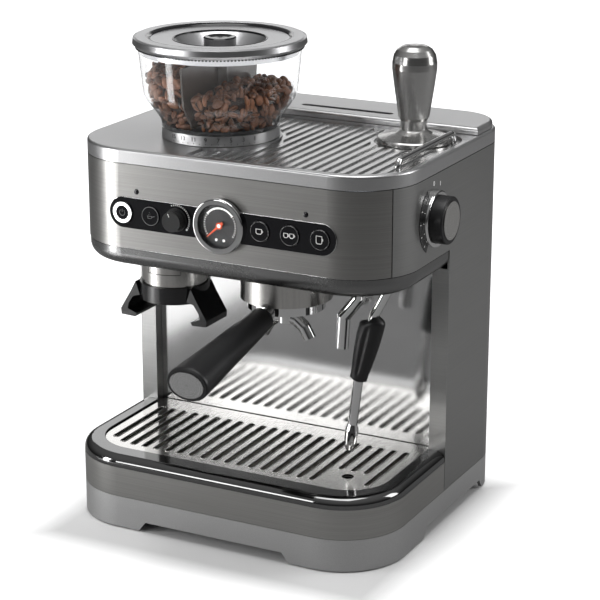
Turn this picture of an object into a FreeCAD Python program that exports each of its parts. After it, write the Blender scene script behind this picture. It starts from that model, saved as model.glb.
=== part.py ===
"""Espresso machine with a built-in grinder, as separate named sub-parts.

Units are millimetres.  While the parts are built, X = 0 is the middle of the body, Y = 0 the front
of the base and Z = 0 the counter; +X is the machine's right side seen from the front.  The parts are
then moved together, so that the origin is the middle of the whole machine's footprint on the counter.
"""
import FreeCAD
import Part

import math
import os

V = FreeCAD.Vector
UP = V(0, 0, 1)
BACKWARD = V(0, 1, 0)
RIGHT = V(1, 0, 0)

# ---- body ------------------------------------------------------------------------------------
HALF_W = 143.0
BACK = 250.0
HEAD_FRONT = 19.5
CORNER_HEAD = 52.0
CORNER_BASE = 54.0
CORNER_REAR = 38.0
SHEET = 1.6
GAP = 0.3

# ---- heights ---------------------------------------------------------------------------------
RING_TOP = 27.5
FOOT_GAP = 9.0
BAND_TOP = 52.5
RIM_TOP = 61.5
GRILLE_TOP = 60.0
BAY_TOP = 216.0
FASCIA_LOW = 231.8
FASCIA_TOP = 299.7
TOP = 311.5
TRAY_FLOOR = 308.0
LID_TOP = 317.4

# ---- depths and sides ------------------------------------------------------------------------
COLUMN_FRONT = 131.0
COLUMN_INNER = 128.5
SPLASH_FRONT = 140.0
SEAM_X = 134.3
FAR = 400.0

# ---- base ------------------------------------------------------------------------------------
SKIRT_LOW = 1.2
SKIRT_WALL = 3.0
FOOT_CUT_SLOPE = 7.0
FRONT_CUT_HALF = 69.0
SIDE_CUT = (90.0, 213.0)
FOOT_R = 10.0
FOOT_HEIGHT = 5.0

# ---- rear ------------------------------------------------------------------------------------
REAR_PANEL_HALF = 104.0
INLET_X = 70.0
INLET_Z = 54.0
SCREW_PLACES = [(x, z) for x in (-94, 94) for z in (40, 165, 290)]
VENT_COUNT = 8
VENT_LOW = 190.0
VENT_PITCH = 9.0
VENT_HEIGHT = 3.2
VENT_HALF = 60.0

# ---- top -------------------------------------------------------------------------------------
RECESS = (-34.0, 138.0, 25.5, 186.5)
TAMPER_SEAT_R = 31.5
RIB_PITCH = 9.06
RIB_WIDTH = 3.0
RIB_CORNER = 47.0

# ---- water tank ------------------------------------------------------------------------------
TANK_LID_FRONT = 188.2
LID_HINGE = (245.6, 313.9)
LID_HINGE_R = 2.0
LID_HINGE_HALF = 96.0
TANK_HALF = 100.0
TANK_Y = (197.0, 242.0)
TANK_LOW = 62.0
TANK_WALL = 2.2

# ---- controls --------------------------------------------------------------------------------
STRIP_Z = 261.1
STRIP_HALF = 99.0
STRIP_R = 12.2
STRIP_FRONT = HEAD_FRONT - 1.2
POWER_X = -87.0
POWER_R = 9.4
GRIND_BUTTON_X = -61.5
GRIND_BUTTON_R = 8.0
GRIND_DIAL_X = -38.2
GRIND_DIAL_R = 8.0
BREW_BUTTON_X = (35.0, 60.5, 86.0)
BREW_BUTTON_R = 8.3
GAUGE_R = 22.0
GAUGE_SEAT_R = 21.3
SIDE_DIAL_Y = 98.5
SIDE_DIAL_Z = 265.4
SIDE_DIAL_R = 18.7
SIDE_DIAL_FACE = HALF_W + 14.5

# ---- grinder ---------------------------------------------------------------------------------
HOPPER = (-44.0, 99.5)
HOPPER_RING_R = 47.3
HOPPER_RING_TOP = 320.0
GLASS_TOP = 383.0
GLASS_WALL = 2.0
HOPPER_LID_R = 69.2
HOPPER_LID_TOP = 391.5
LID_KNOB_R = 13.0
BURR_LOW = 262.0
BURR_GROOVES = 10
OUTLET = (-80.0, 84.0)
OUTLET_R = 27.0
COVER_LOW = 190.0

# ---- group and portafilter -------------------------------------------------------------------
GROUP = (22.0, 86.0)
GROUP_COVER_R = 37.3
PF_R = 31.4
PF_LOW = 181.5
PF_TOP = 201.0
LUG_ANGLES = (30.0, 150.0, 270.0)
LUG_SPAN = 34.0
UNLOCK_TURN = -40.0
LUG_R = 33.8
LUG_LOW = 194.0
LUG_HEIGHT = 4.0
BASKET_R = 28.6
HANDLE_START = (44.5, 181.8)
HANDLE_END = (-72.6, 164.4)
HANDLE_END_RX = 17.7
HANDLE_END_RZ = 13.8
HANDLE_NECK_R = 10.0

# ---- steam and water -------------------------------------------------------------------------
WAND_Y = 72.0
WAND_PATH = ((121.0, 219.0), (106.4, 190.0), (93.0, 136.0), (85.4, 74.8))
WAND_R = 3.9
PIPE_Y = 80.0
PIPE_PATH = ((93.0, 219.0), (89.0, 199.0), (76.0, 182.0), (74.5, 156.0))
PIPE_R = 5.3

# ---- tamper, rail, tray ----------------------------------------------------------------------
TAMPER = (99.5, 155.0)
TAMPER_R = 29.0
RAIL_X = 131.5
RAIL_Y = (55.0, 160.0)
RAIL_Z = 319.0
RAIL_R = 2.25
GRILLE_HALF = 127.6
GRILLE_FRONT = 21.0
GRILLE_BACK = 138.6
GRILLE_CORNER = 36.0
SLOT_PITCH = 10.95
SLOT_COUNT = 22
SLOT_FRONT = 32.0
SLOT_BACK = 119.0
SLOT_WIDTH = 5.0
FLOAT = (94.0, 52.0)
FLOAT_R = 4.4
BAND_LOW = RING_TOP + GAP

# The origin is the middle of the footprint of the whole machine, with the dial and the handle.
REAR_MOST = BACK + 6.0
FRONT_MOST = HANDLE_END[0] - 2.2
DIAL_CAP_FACE = SIDE_DIAL_FACE + 0.7
ORIGIN = V((HALF_W - DIAL_CAP_FACE) / 2, -(FRONT_MOST + REAR_MOST) / 2, 0)


# ---- shapes that repeat ----------------------------------------------------------------------
def box(x0, x1, y0, y1, z0, z1):
    return Part.makeBox(x1 - x0, y1 - y0, z1 - z0, V(x0, y0, z0))


def upright(centre, r, z0, z1):
    return Part.makeCylinder(r, z1 - z0, V(centre[0], centre[1], z0), UP)


def forward_rod(x, z, r, y0, y1):
    return Part.makeCylinder(r, y1 - y0, V(x, y0, z), BACKWARD)


def side_rod(y, z, r, x0, x1):
    return Part.makeCylinder(r, x1 - x0, V(x0, y, z), RIGHT)


def outline(half, y0, y1, r_front, r_rear):
    """A plan with two front corners of one radius and two rear corners of another."""
    def corner(cx, cy, r, start):
        a = [math.radians(start + d) for d in (0, 45, 90)]
        return Part.Arc(*[V(cx + r * math.cos(t), cy + r * math.sin(t), 0) for t in a])

    arcs = [corner(half - r_front, y0 + r_front, r_front, 270),
            corner(half - r_rear, y1 - r_rear, r_rear, 0),
            corner(-half + r_rear, y1 - r_rear, r_rear, 90),
            corner(-half + r_front, y0 + r_front, r_front, 180)]
    edges = []
    for i, arc in enumerate(arcs):
        after = arcs[(i + 1) % 4]
        edges.append(arc.toShape())
        edges.append(Part.makeLine(arc.EndPoint, after.StartPoint))
    return Part.Face(Part.Wire(edges))


def prism(face, z0, z1):
    base = face.copy()
    base.translate(V(0, 0, z0))
    return base.extrude(V(0, 0, z1 - z0))


def head_prism(inset, z0, z1):
    face = outline(HALF_W - inset, HEAD_FRONT + inset, BACK - inset, CORNER_HEAD - inset, CORNER_REAR - inset)
    return prism(face, z0, z1)


def base_prism(inset, z0, z1):
    face = outline(HALF_W - inset, inset, BACK - inset, CORNER_BASE - inset, CORNER_REAR - inset)
    return prism(face, z0, z1)


def lathe(centre, profile):
    """Turn a closed list of (radius, height) points about an upright axis."""
    points = [V(centre[0] + r, centre[1], z) for r, z in profile]
    face = Part.Face(Part.makePolygon(points + points[:1]))
    return face.revolve(V(centre[0], centre[1], 0), UP, 360)


def tube_along(points, r):
    """A round bar through the points, with a ball at each bend."""
    parts = []
    for a, b in zip(points, points[1:]):
        parts.append(Part.makeCylinder(r, (b - a).Length, a, b - a))
    for p in points[1:-1]:
        parts.append(Part.makeSphere(r, p))
    return parts[0].fuse(parts[1:]).removeSplitter()


def slot(x, y0, y1, width, z0, z1):
    """A round-ended bar that runs from front to back."""
    r = width / 2
    bar = box(x - r, x + r, y0 + r, y1 - r, z0, z1)
    return bar.fuse([upright((x, y0 + r), r, z0, z1), upright((x, y1 - r), r, z0, z1)])


def pill(half, r, z, y0, y1):
    """A bar with round ends, standing on its edge and facing the front."""
    middle = box(-half + r, half - r, y0, y1, z - r, z + r)
    return middle.fuse([forward_rod(-half + r, z, r, y0, y1), forward_rod(half - r, z, r, y0, y1)])


def edges_at(shape, z, test):
    """The edges lying at one height whose middle point passes a test."""
    found = []
    for e in shape.Edges:
        b = e.BoundBox
        if abs(b.ZMin - z) < 0.01 and abs(b.ZMax - z) < 0.01 and test(b.Center, b):
            found.append(e)
    return found


# ---- base and casing -------------------------------------------------------------------------
def base_ring():
    """Moulded base: a skirt with four corner feet, and a deck that the drip tray slides on."""
    low = SKIRT_LOW
    slope = FOOT_CUT_SLOPE
    half = FRONT_CUT_HALF
    skirt = base_prism(0, low, RING_TOP).cut(base_prism(SKIRT_WALL, low - 1, RING_TOP - SKIRT_WALL))
    across = [(-half, low - 1), (half, low - 1), (half - slope, FOOT_GAP), (slope - half, FOOT_GAP)]
    wire = Part.makePolygon([V(x, -5, z) for x, z in across + across[:1]])
    front_cut = Part.Face(wire).extrude(V(0, BACK + 20, 0))
    near, rear = SIDE_CUT
    along = [(near, low - 1), (rear, low - 1), (rear - slope, FOOT_GAP), (near + slope, FOOT_GAP)]
    wire = Part.makePolygon([V(-HALF_W - 5, y, z) for y, z in along + along[:1]])
    side_cut = Part.Face(wire).extrude(V(2 * HALF_W + 10, 0, 0))
    bosses = [upright(c, FOOT_R + 2.5, low, RING_TOP - SKIRT_WALL) for c in foot_places()]
    pockets = [upright(c, FOOT_R + GAP, 0, FOOT_HEIGHT) for c in foot_places()]
    return skirt.cut([front_cut, side_cut]).fuse(bosses).cut(pockets).removeSplitter()


def foot_places():
    """Centres of the four feet."""
    return [(x, y) for x in (-HALF_W + 28, HALF_W - 28) for y in (30, BACK - 26)]


def rubber_feet():
    """Four round feet in the base's bosses."""
    return [upright(c, FOOT_R, 0, FOOT_HEIGHT) for c in foot_places()]


def side_panel(side):
    """Sheet side: head side and column in one, folded round the column's front edge."""
    sheet = head_prism(0, BAND_LOW, FASCIA_TOP).cut(head_prism(SHEET, BAND_LOW - 1, FASCIA_TOP + 1))
    keep = box(0, FAR, -10, FAR, 0, FAR) if side > 0 else box(-FAR, 0, -10, FAR, 0, FAR)
    sheet = sheet.common(keep)
    cuts = [box(-FAR, FAR, -10, COLUMN_FRONT, 0, FASCIA_LOW),
            box(-SEAM_X, SEAM_X, -10, HEAD_FRONT + CORNER_HEAD, 0, FAR),
            box(-REAR_PANEL_HALF, REAR_PANEL_HALF, 200, FAR, 0, FAR)]
    sheet = sheet.cut(cuts)
    outer = side * (HALF_W - SHEET / 2)
    inner = side * COLUMN_INNER
    face_x = sorted((outer, inner))
    face = box(face_x[0], face_x[1], COLUMN_FRONT, COLUMN_FRONT + SHEET, BAND_LOW, BAY_TOP - GAP)
    wall_x = sorted((inner, inner + side * SHEET))
    wall = box(wall_x[0], wall_x[1], COLUMN_FRONT, SPLASH_FRONT + SHEET, BAND_LOW, BAY_TOP - GAP)
    panel = sheet.fuse([face, wall]).removeSplitter()
    if side > 0:
        panel = panel.cut(side_rod(SIDE_DIAL_Y, SIDE_DIAL_Z, 7.0, HALF_W - 5, HALF_W + 5))
    return panel


def rear_panel():
    """Plain sheet at the back, with vents and the mains lead's hole."""
    half = REAR_PANEL_HALF - GAP
    plate = box(-half, half, BACK - SHEET, BACK, BAND_LOW, FASCIA_TOP)
    vents = []
    for row in range(VENT_COUNT):
        z = VENT_LOW + VENT_PITCH * row
        vents.append(box(-VENT_HALF, VENT_HALF, BACK - 5, BACK + 5, z, z + VENT_HEIGHT))
    vents.append(forward_rod(INLET_X, INLET_Z, 8.3, BACK - 5, BACK + 5))
    return plate.cut(vents)


def case_screws():
    """Round-headed screws that hold the rear panel."""
    screws = []
    for x, z in SCREW_PLACES:
        head = forward_rod(x, z, 3.6, BACK, BACK + 1.8)
        recess = box(x - 2.2, x + 2.2, BACK + 0.8, BACK + 3, z - 0.5, z + 0.5)
        cross = box(x - 0.5, x + 0.5, BACK + 0.8, BACK + 3, z - 2.2, z + 2.2)
        screws.append(head.cut([recess, cross]))
    return screws


def cord_inlet():
    """The bush in the rear panel that the mains lead comes out of."""
    flange = forward_rod(INLET_X, INLET_Z, 12.0, BACK, BACK + 2.0)
    sleeve = forward_rod(INLET_X, INLET_Z, 8.0, BACK - 12, BACK + 6.0)
    bore = forward_rod(INLET_X, INLET_Z, 3.6, BACK - 20, BACK + 20)
    return flange.fuse(sleeve).cut(bore).removeSplitter()


def splash_panel():
    """Polished sheet at the back of the brewing bay."""
    half = COLUMN_INNER - GAP
    return box(-half, half, SPLASH_FRONT, SPLASH_FRONT + SHEET, BAND_LOW, BAY_TOP - GAP)


def head_underside():
    """Dark tray that closes the head from below and rounds up to the fascia."""
    inset = 0.5
    top = FASCIA_LOW - 0.7
    block = head_prism(inset, BAY_TOP, top)
    rounded = edges_at(block, BAY_TOP, lambda c, b: b.YMin < COLUMN_FRONT - 10)
    block = block.makeFillet(10.5, rounded)
    floor = BAY_TOP + 2.6
    hollow = head_prism(inset + 2.6, floor, top + 1)
    hollow = hollow.makeFillet(8.5, edges_at(hollow, floor, lambda c, b: b.YMin < COLUMN_FRONT - 10))
    behind = [box(-FAR, FAR, SPLASH_FRONT - GAP, FAR, 0, FAR),
              box(-FAR, -COLUMN_INNER + GAP, COLUMN_FRONT - GAP, FAR, 0, FAR),
              box(COLUMN_INNER - GAP, FAR, COLUMN_FRONT - GAP, FAR, 0, FAR)]
    holes = [upright(OUTLET, 20, BAY_TOP - 9, BAY_TOP + 9),
             upright(GROUP, 36, BAY_TOP - 9, BAY_TOP + 9),
             upright((WAND_PATH[0][0], WAND_Y), 7.0, BAY_TOP - 9, BAY_TOP + 9),
             upright((PIPE_PATH[0][0], PIPE_Y), 7.0, BAY_TOP - 9, BAY_TOP + 9)]
    return block.cut([hollow] + behind + holes)


def fascia():
    """Brushed front sheet, wrapped round both front corners."""
    sheet = head_prism(0, FASCIA_LOW, FASCIA_TOP).cut(head_prism(SHEET, FASCIA_LOW - 1, FASCIA_TOP + 1))
    front = SEAM_X - 0.5
    sheet = sheet.common(box(-front, front, 0, HEAD_FRONT + CORNER_HEAD, 0, FAR))
    window = pill(STRIP_HALF + GAP, STRIP_R + GAP, STRIP_Z, HEAD_FRONT - 5, HEAD_FRONT + 8)
    return sheet.cut([window, forward_rod(0, STRIP_Z, GAUGE_SEAT_R + GAP, HEAD_FRONT - 5, HEAD_FRONT + 8)])


# ---- top -------------------------------------------------------------------------------------
def recess_prism(inset, z0, z1):
    """The sunken area for the cup tray: it follows the head's corner and leaves the hopper's seat."""
    x0, x1, y0, y1 = RECESS
    border = HALF_W - x1
    face = outline(x1 - inset, y0 + inset, y1 - inset, CORNER_HEAD - border - inset, 30 - inset)
    area = prism(face, z0, z1)
    left = box(-FAR, x0 + inset, 0, FAR, z0 - 1, z1 + 1)
    return area.cut([left, upright(HOPPER, HOPPER_RING_R + 1.5 + inset, z0 - 1, z1 + 1)])


def top_frame():
    """Satin cover of the head: a band all round, the hopper's seat and the deck under the cup tray."""
    block = head_prism(0, FASCIA_TOP + 0.6, TOP)
    block = block.makeFillet(2.0, edges_at(block, TOP, lambda c, b: True))
    under = head_prism(3.2, FASCIA_TOP - 5, 304.5)
    tank_opening = box(-104, 104, 193, 245, 290, 330)
    throat = upright(HOPPER, 38.7, 290, 330)
    return block.cut([under, recess_prism(0, TRAY_FLOOR, 330), tank_opening, throat])


def rib_lines():
    """X places of the cup tray's ribs."""
    first = RECESS[0] + 4.5
    count = int((RECESS[1] - 7 - first) / RIB_PITCH) + 1
    return [first + RIB_PITCH * i for i in range(count)]


def cup_tray():
    """Steel plate with raised ribs, with an opening round the tamper's seat."""
    plate = recess_prism(0.5, TRAY_FLOOR, TRAY_FLOOR + 1.4)
    ribs = []
    for x in rib_lines():
        in_corner = max(0.0, x - (HALF_W - CORNER_HEAD))
        front = RECESS[2] + 5 + RIB_CORNER - math.sqrt(RIB_CORNER ** 2 - in_corner ** 2)
        ribs.append(slot(x, front, RECESS[3] - 7, RIB_WIDTH, TRAY_FLOOR + 0.7, TRAY_FLOOR + 2.6))
    around = [upright(HOPPER, HOPPER_RING_R + 4, 300, 320), upright(TAMPER, TAMPER_SEAT_R + 3, 300, 320)]
    border = recess_prism(4.0, 300, 320)
    ribs = [r.cut(around).common(border) for r in ribs]
    seat = upright(TAMPER, TAMPER_SEAT_R, 300, 320)
    return plate.fuse(ribs).cut(seat).removeSplitter()


def cup_rail():
    """Bent wire rail that keeps cups from sliding off the right side."""
    y0, y1 = RAIL_Y
    bend = 6.0
    low = TRAY_FLOOR + 1.4
    bar = Part.makeCylinder(RAIL_R, y1 - y0 - 2 * bend, V(RAIL_X, y0 + bend, RAIL_Z), BACKWARD)
    parts = []
    for y, turn in ((y0, 1), (y1, -1)):
        parts.append(Part.makeCylinder(RAIL_R, RAIL_Z - bend - low, V(RAIL_X, y, low), UP))
        quarter = Part.makeTorus(bend, RAIL_R, V(RAIL_X, y + turn * bend, RAIL_Z - bend), RIGHT)
        near, rear = sorted((y - turn * 5, y + turn * bend))
        parts.append(quarter.common(box(RAIL_X - 9, RAIL_X + 9, near, rear, RAIL_Z - bend, RAIL_Z + 9)))
    return bar.fuse(parts).removeSplitter()


def tank_lid():
    """Raised cover over the water tank, with a finger slot near its front."""
    clip = box(-FAR, FAR, TANK_LID_FRONT, FAR, 0, FAR)
    lid = head_prism(2.4, TOP + 0.4, LID_TOP).common(clip)
    lid = lid.makeFillet(3.0, edges_at(lid, LID_TOP, lambda c, b: True))
    finger = pill_slot(-26.0, 58.0, 206.0, 6.5, TOP - 5, LID_TOP + 5)
    behind = box(-FAR, FAR, LID_HINGE[0], FAR, 0, LID_HINGE[1])
    knuckle = side_rod(*LID_HINGE, LID_HINGE_R, -LID_HINGE_HALF, LID_HINGE_HALF)
    return lid.cut([finger, behind]).fuse(knuckle).removeSplitter()


def pill_slot(x0, x1, y, width, z0, z1):
    """A round-ended opening that runs from left to right."""
    r = width / 2
    middle = box(x0 + r, x1 - r, y - r, y + r, z0, z1)
    return middle.fuse([upright((x0 + r, y), r, z0, z1), upright((x1 - r, y), r, z0, z1)])


def water_tank():
    """Open-topped tank behind the brewing bay, lifted out from above."""
    front, back = TANK_Y
    corner = 8.0
    outer = prism(outline(TANK_HALF, front, back, corner, corner), TANK_LOW, TOP - 0.6)
    inner_corner = corner - TANK_WALL
    plan = outline(TANK_HALF - TANK_WALL, front + TANK_WALL, back - TANK_WALL, inner_corner, inner_corner)
    inner = prism(plan, TANK_LOW + 2.5, TOP + 5)
    valve = upright((0, 219), 9, TANK_LOW - 8, TANK_LOW)
    return outer.cut(inner).fuse(valve).removeSplitter()


# ---- hopper and grinder ----------------------------------------------------------------------
def hopper_glass():
    """Clear bowl: wide above, drawn in by an S-shaped shoulder to the scale ring."""
    outer = [(47.0, HOPPER_RING_TOP), (47.4, 325.0), (50.0, 329.5), (55.0, 334.0), (59.0, 340.0),
             (61.6, 348.0), (62.8, 356.0), (65.0, GLASS_TOP)]
    inner = [(r - GLASS_WALL, z + 0.4) for r, z in outer]
    inner[0] = (inner[0][0], HOPPER_RING_TOP)
    inner[-1] = (inner[-1][0], GLASS_TOP)
    return lathe(HOPPER, outer + inner[::-1])


def hopper_ring():
    """Scale ring of the hopper with the neck that turns in the head's throat."""
    low = TOP + 0.4
    return lathe(HOPPER, [(34.0, 299.0), (38.4, 299.0), (38.4, low), (HOPPER_RING_R, low),
                          (46.7, HOPPER_RING_TOP), (36.0, HOPPER_RING_TOP), (34.0, HOPPER_RING_TOP - 6)])


def hopper_lid():
    """Lid with a satin rim, a dark inset and a sunken bowl for the fingers."""
    low = GLASS_TOP + 0.5
    outer = [(62.4, low - 5), (62.4, low), (66.5, low), (HOPPER_LID_R, low + 2.8),
             (HOPPER_LID_R - 0.6, 390.6), (66.6, HOPPER_LID_TOP), (58.5, HOPPER_LID_TOP), (57.0, 389.6),
             (38.0, 389.0), (36.4, 387.6), (27.0, 378.6), (22.0, 377.6), (0.0, 377.6)]
    inner = [(0.0, 375.6), (23.0, 375.6), (28.0, 376.8), (37.0, 385.4), (57.6, 386.4), (60.4, low),
             (60.4, low - 5)]
    return lathe(HOPPER, outer + inner)


def hopper_lid_knob():
    """Finger grip in the lid's bowl: a short round post with a dished top."""
    r = LID_KNOB_R
    return lathe(HOPPER, [(0, 377.6), (r - 1, 377.6), (r - 1, 379.6), (r, 380.6), (r, 389.5),
                          (r - 0.9, 390.5), (r - 3, 390.5), (r - 6, 389.3), (0, 388.9)])


def burr_housing():
    """Grinding chamber under the hopper, with the chute to the outlet."""
    chamber = upright(HOPPER, 40.0, 238.0, 297.0).cut(upright(HOPPER, 36.6, 258.0, 298.0))
    chute = box(OUTLET[0] - 14, OUTLET[0] + 22, OUTLET[1] - 14, OUTLET[1] + 14, 219.5, 250.0)
    tunnel = box(OUTLET[0] - 11, OUTLET[0] + 26, OUTLET[1] - 11, OUTLET[1] + 11, 262.0, 268.0)
    shaft_bore = upright(HOPPER, 4.4, 230, 262)
    column = box(OUTLET[0] - 14, OUTLET[0] + 8, OUTLET[1] - 14, OUTLET[1] + 14, 249.0, 271.0)
    bore = box(OUTLET[0] - 11, OUTLET[0] - 1, OUTLET[1] - 11, OUTLET[1] + 11, 210.0, 268.0)
    body = chamber.fuse([chute, column]).cut([tunnel, bore, shaft_bore])
    return body.removeSplitter()


def upper_burr():
    """Ring burr carried by the hopper's neck: turning the hopper sets the grind."""
    return lathe(HOPPER, [(24.0, 274.0), (30.0, 274.0), (33.0, 292.0), (36.2, 294.0), (36.2, 299.0),
                          (20.0, 299.0), (15.5, 292.0)])


def lower_burr():
    """Cone burr on its drive shaft, with cutting grooves."""
    cone = lathe(HOPPER, [(0, 238.6), (4.3, 238.6), (4.3, BURR_LOW), (22.5, BURR_LOW), (22.5, 272.0),
                          (14.0, 291.0), (5.0, 294.0), (0, 294.0)])
    grooves = []
    for i in range(BURR_GROOVES):
        cut = box(HOPPER[0] + 19.5, HOPPER[0] + 30, HOPPER[1] - 1.2, HOPPER[1] + 1.2, 266, 300)
        cut.rotate(V(HOPPER[0], HOPPER[1], 0), UP, 360 * i / BURR_GROOVES)
        grooves.append(cut)
    return cone.cut(grooves)


def grinder_motor():
    """Motor behind the splash panel, with its drive box under the burr chamber."""
    can = upright((-84, 168), 23.0, 150.0, 226.0)
    drive = box(-108, -22, 146, 191, 226.0, 236.0)
    arm = box(-58, -30, 84, 150, 222.0, 236.0)
    return can.fuse([drive, arm]).removeSplitter()


def outlet_cover():
    """Steel ring under the head, round the coffee outlet."""
    return upright(OUTLET, OUTLET_R, COVER_LOW, BAY_TOP).cut(upright(OUTLET, OUTLET_R - 1.6, 0, 300))


def portafilter_cradle():
    """Black fork under the outlet, which holds a portafilter by its rim while it is filled."""
    x, y = OUTLET
    collar = upright((x, y), OUTLET_R - 2.2, 178.0, 206.0).cut(upright((x, y), 20.0, 150, 230))
    skirt = upright((x, y), OUTLET_R + 2.0, 176.0, COVER_LOW - GAP).cut(upright((x, y), 20.0, 150, 230))
    profile = [(26.0, 189.5), (30.5, 181.0), (36.0, 172.0), (40.5, 164.5), (40.0, 159.5), (27.0, 159.0),
               (25.5, 162.0), (34.0, 165.0), (33.0, 170.0), (28.5, 176.5), (22.0, 178.5)]
    legs = []
    for side in (-1, 1):
        wire = Part.makePolygon([V(x + side * a, y - 20, z) for a, z in profile + profile[:1]])
        legs.append(Part.Face(wire).extrude(V(0, 34, 0)))
    bridge = box(x - 27, x + 27, y + 8, y + 14, 170.0, 182.0)
    cradle = collar.fuse([skirt] + legs + [bridge]).removeSplitter()
    return cradle.cut(upright((x, y), 20.0, 183.0, 230))


# ---- group and portafilter -------------------------------------------------------------------
def sector(r0, r1, z0, z1, mid, span):
    """A piece of a ring about the group's axis."""
    ring = upright(GROUP, r1, z0, z1).cut(upright(GROUP, r0, z0 - 1, z1 + 1))
    a0, a1 = [math.radians(mid + s * span / 2) for s in (-1, 1)]
    far = 2 * r1
    corners = [V(GROUP[0], GROUP[1], z0)]
    for a in (a0, (a0 + a1) / 2, a1):
        corners.append(V(GROUP[0] + far * math.cos(a), GROUP[1] + far * math.sin(a), z0))
    wedge = Part.Face(Part.makePolygon(corners + corners[:1])).extrude(V(0, 0, z1 - z0))
    return ring.common(wedge)


def group_cover():
    """Steel ring round the brewing head."""
    cover = upright(GROUP, GROUP_COVER_R, COVER_LOW, BAY_TOP)
    return cover.cut(upright(GROUP, GROUP_COVER_R - 1.5, 0, 300))


def group_head():
    """Brewing head with a bayonet groove: the lugs enter through three gaps and turn over the lip."""
    body = upright(GROUP, 35.4, COVER_LOW + 0.4, 221.0)
    rim_room = upright(GROUP, PF_R + 0.4, 180, 207.0)
    groove = upright(GROUP, LUG_R + 0.4, LUG_LOW - GAP, LUG_LOW + LUG_HEIGHT + GAP)
    gaps = [sector(PF_R - 1, LUG_R + 0.4, 180, LUG_LOW + 1, a + UNLOCK_TURN, LUG_SPAN + 4)
            for a in LUG_ANGLES]
    water = upright(GROUP, 3.0, 200, 230)
    return body.cut([rim_room, groove, water] + gaps)


def group_gasket():
    """Seal that the basket's rim presses on."""
    return upright(GROUP, 31.3, 202.2, 206.9).cut(upright(GROUP, 26.2, 200, 210))


def shower_screen():
    """Perforated disc under the group, with its centre screw."""
    disc = upright(GROUP, 25.6, 199.6, 207.0).cut(upright(GROUP, 24.0, 201.0, 208))
    holes = []
    for ring, count in ((8.0, 8), (13.5, 14), (19.0, 20)):
        for i in range(count):
            a = 2 * math.pi * i / count
            place = (GROUP[0] + ring * math.cos(a), GROUP[1] + ring * math.sin(a))
            holes.append(upright(place, 0.9, 190, 205))
    stem = upright(GROUP, 3.0, 198.4, 203.0)
    return disc.cut(holes).fuse(stem).removeSplitter()


def portafilter_body():
    """Chrome ring with three lugs, a floor, and the tapered neck that holds the grip."""
    shell = upright(GROUP, PF_R, PF_LOW, PF_TOP).cut(upright(GROUP, BASKET_R + 0.4, PF_LOW + 2.0, 230))
    lugs = [sector(PF_R - 1.5, LUG_R, LUG_LOW, LUG_LOW + LUG_HEIGHT, a, LUG_SPAN) for a in LUG_ANGLES]
    end, _, along = handle_axis()
    start = end - along * 14.0
    neck = Part.makeCone(5.4, 7.2, 14.0, start, along)
    drain = upright(GROUP, 4.0, 160, 190)
    body = shell.fuse(lugs + [neck])
    return body.cut([upright(GROUP, BASKET_R + 0.4, PF_LOW + 2.0, 230), drain]).removeSplitter()


def filter_basket():
    """Thin steel cup for the coffee, hung by its rim."""
    wall = 0.7
    r = BASKET_R
    return lathe(GROUP, [(0, 184.2), (r - 1.2, 184.2), (r, 185.6), (r, PF_TOP), (r + 2.0, PF_TOP),
                         (r + 2.0, PF_TOP + wall), (r - wall, PF_TOP + wall), (r - wall, 186.0),
                         (r - 1.6, 184.9), (0, 184.9)])


def twin_spout():
    """Spout block under the portafilter with two outlets, left and right."""
    x, y = GROUP
    block = upright(GROUP, 7.0, 168.0, PF_LOW).fuse(upright(GROUP, 3.9, PF_LOW, 184.0))
    arms = []
    channels = [upright(GROUP, 2.6, 170, 190)]
    for side in (-1, 1):
        path = [V(x, y, 173.0), V(x + side * 9, y, 171.0), V(x + side * 16, y, 165.5)]
        arms.append(tube_along(path + [V(x + side * 21, y, 156.5)], 5.2))
        channels.append(tube_along(path + [V(x + side * 22.4, y, 154.0)], 3.4))
    return block.fuse(arms).cut(channels).removeSplitter()


def oval_section(centre, along, rx, rz):
    """An oval outline square to the handle's axis, widest from left to right."""
    wire = Part.Wire([Part.Ellipse(V(0, 0, 0), rx, rz).toShape()])
    wire.Placement = FreeCAD.Placement(centre, FreeCAD.Rotation(RIGHT, along.cross(RIGHT), along, "ZXY"))
    return wire


def handle_axis():
    """The handle's ends and its direction, from the neck outward."""
    start = V(GROUP[0], *HANDLE_START)
    end = V(GROUP[0], *HANDLE_END)
    return start, end, (end - start).normalize()


def end_plug(margin, depth, proud):
    """The oval space in the handle's end, or the disc that fills it."""
    _, end, along = handle_axis()
    rx = HANDLE_END_RX - margin
    rz = HANDLE_END_RZ - margin + 0.2
    return Part.makeLoft([oval_section(end - along * depth, along, rx, rz),
                          oval_section(end + along * proud, along, rx, rz)], True, False)


def handle_grip():
    """Black grip, round at the neck, that widens straight to an oval end with a rounded edge."""
    start, end, along = handle_axis()
    length = (end - start).Length
    stations = ((0.0, HANDLE_NECK_R, HANDLE_NECK_R - 0.4), (0.975, HANDLE_END_RX, HANDLE_END_RZ),
                (0.99, HANDLE_END_RX - 0.3, HANDLE_END_RZ - 0.3),
                (1.0, HANDLE_END_RX - 1.2, HANDLE_END_RZ - 1.2))
    wires = [oval_section(start + along * (length * t), along, rx, rz) for t, rx, rz in stations]
    return Part.makeLoft(wires, True, True).cut(end_plug(3.2, 2.4, 1.0))


def handle_cap():
    """Brushed disc set into the end of the grip."""
    return end_plug(3.4, 2.4, 0.3)


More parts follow.
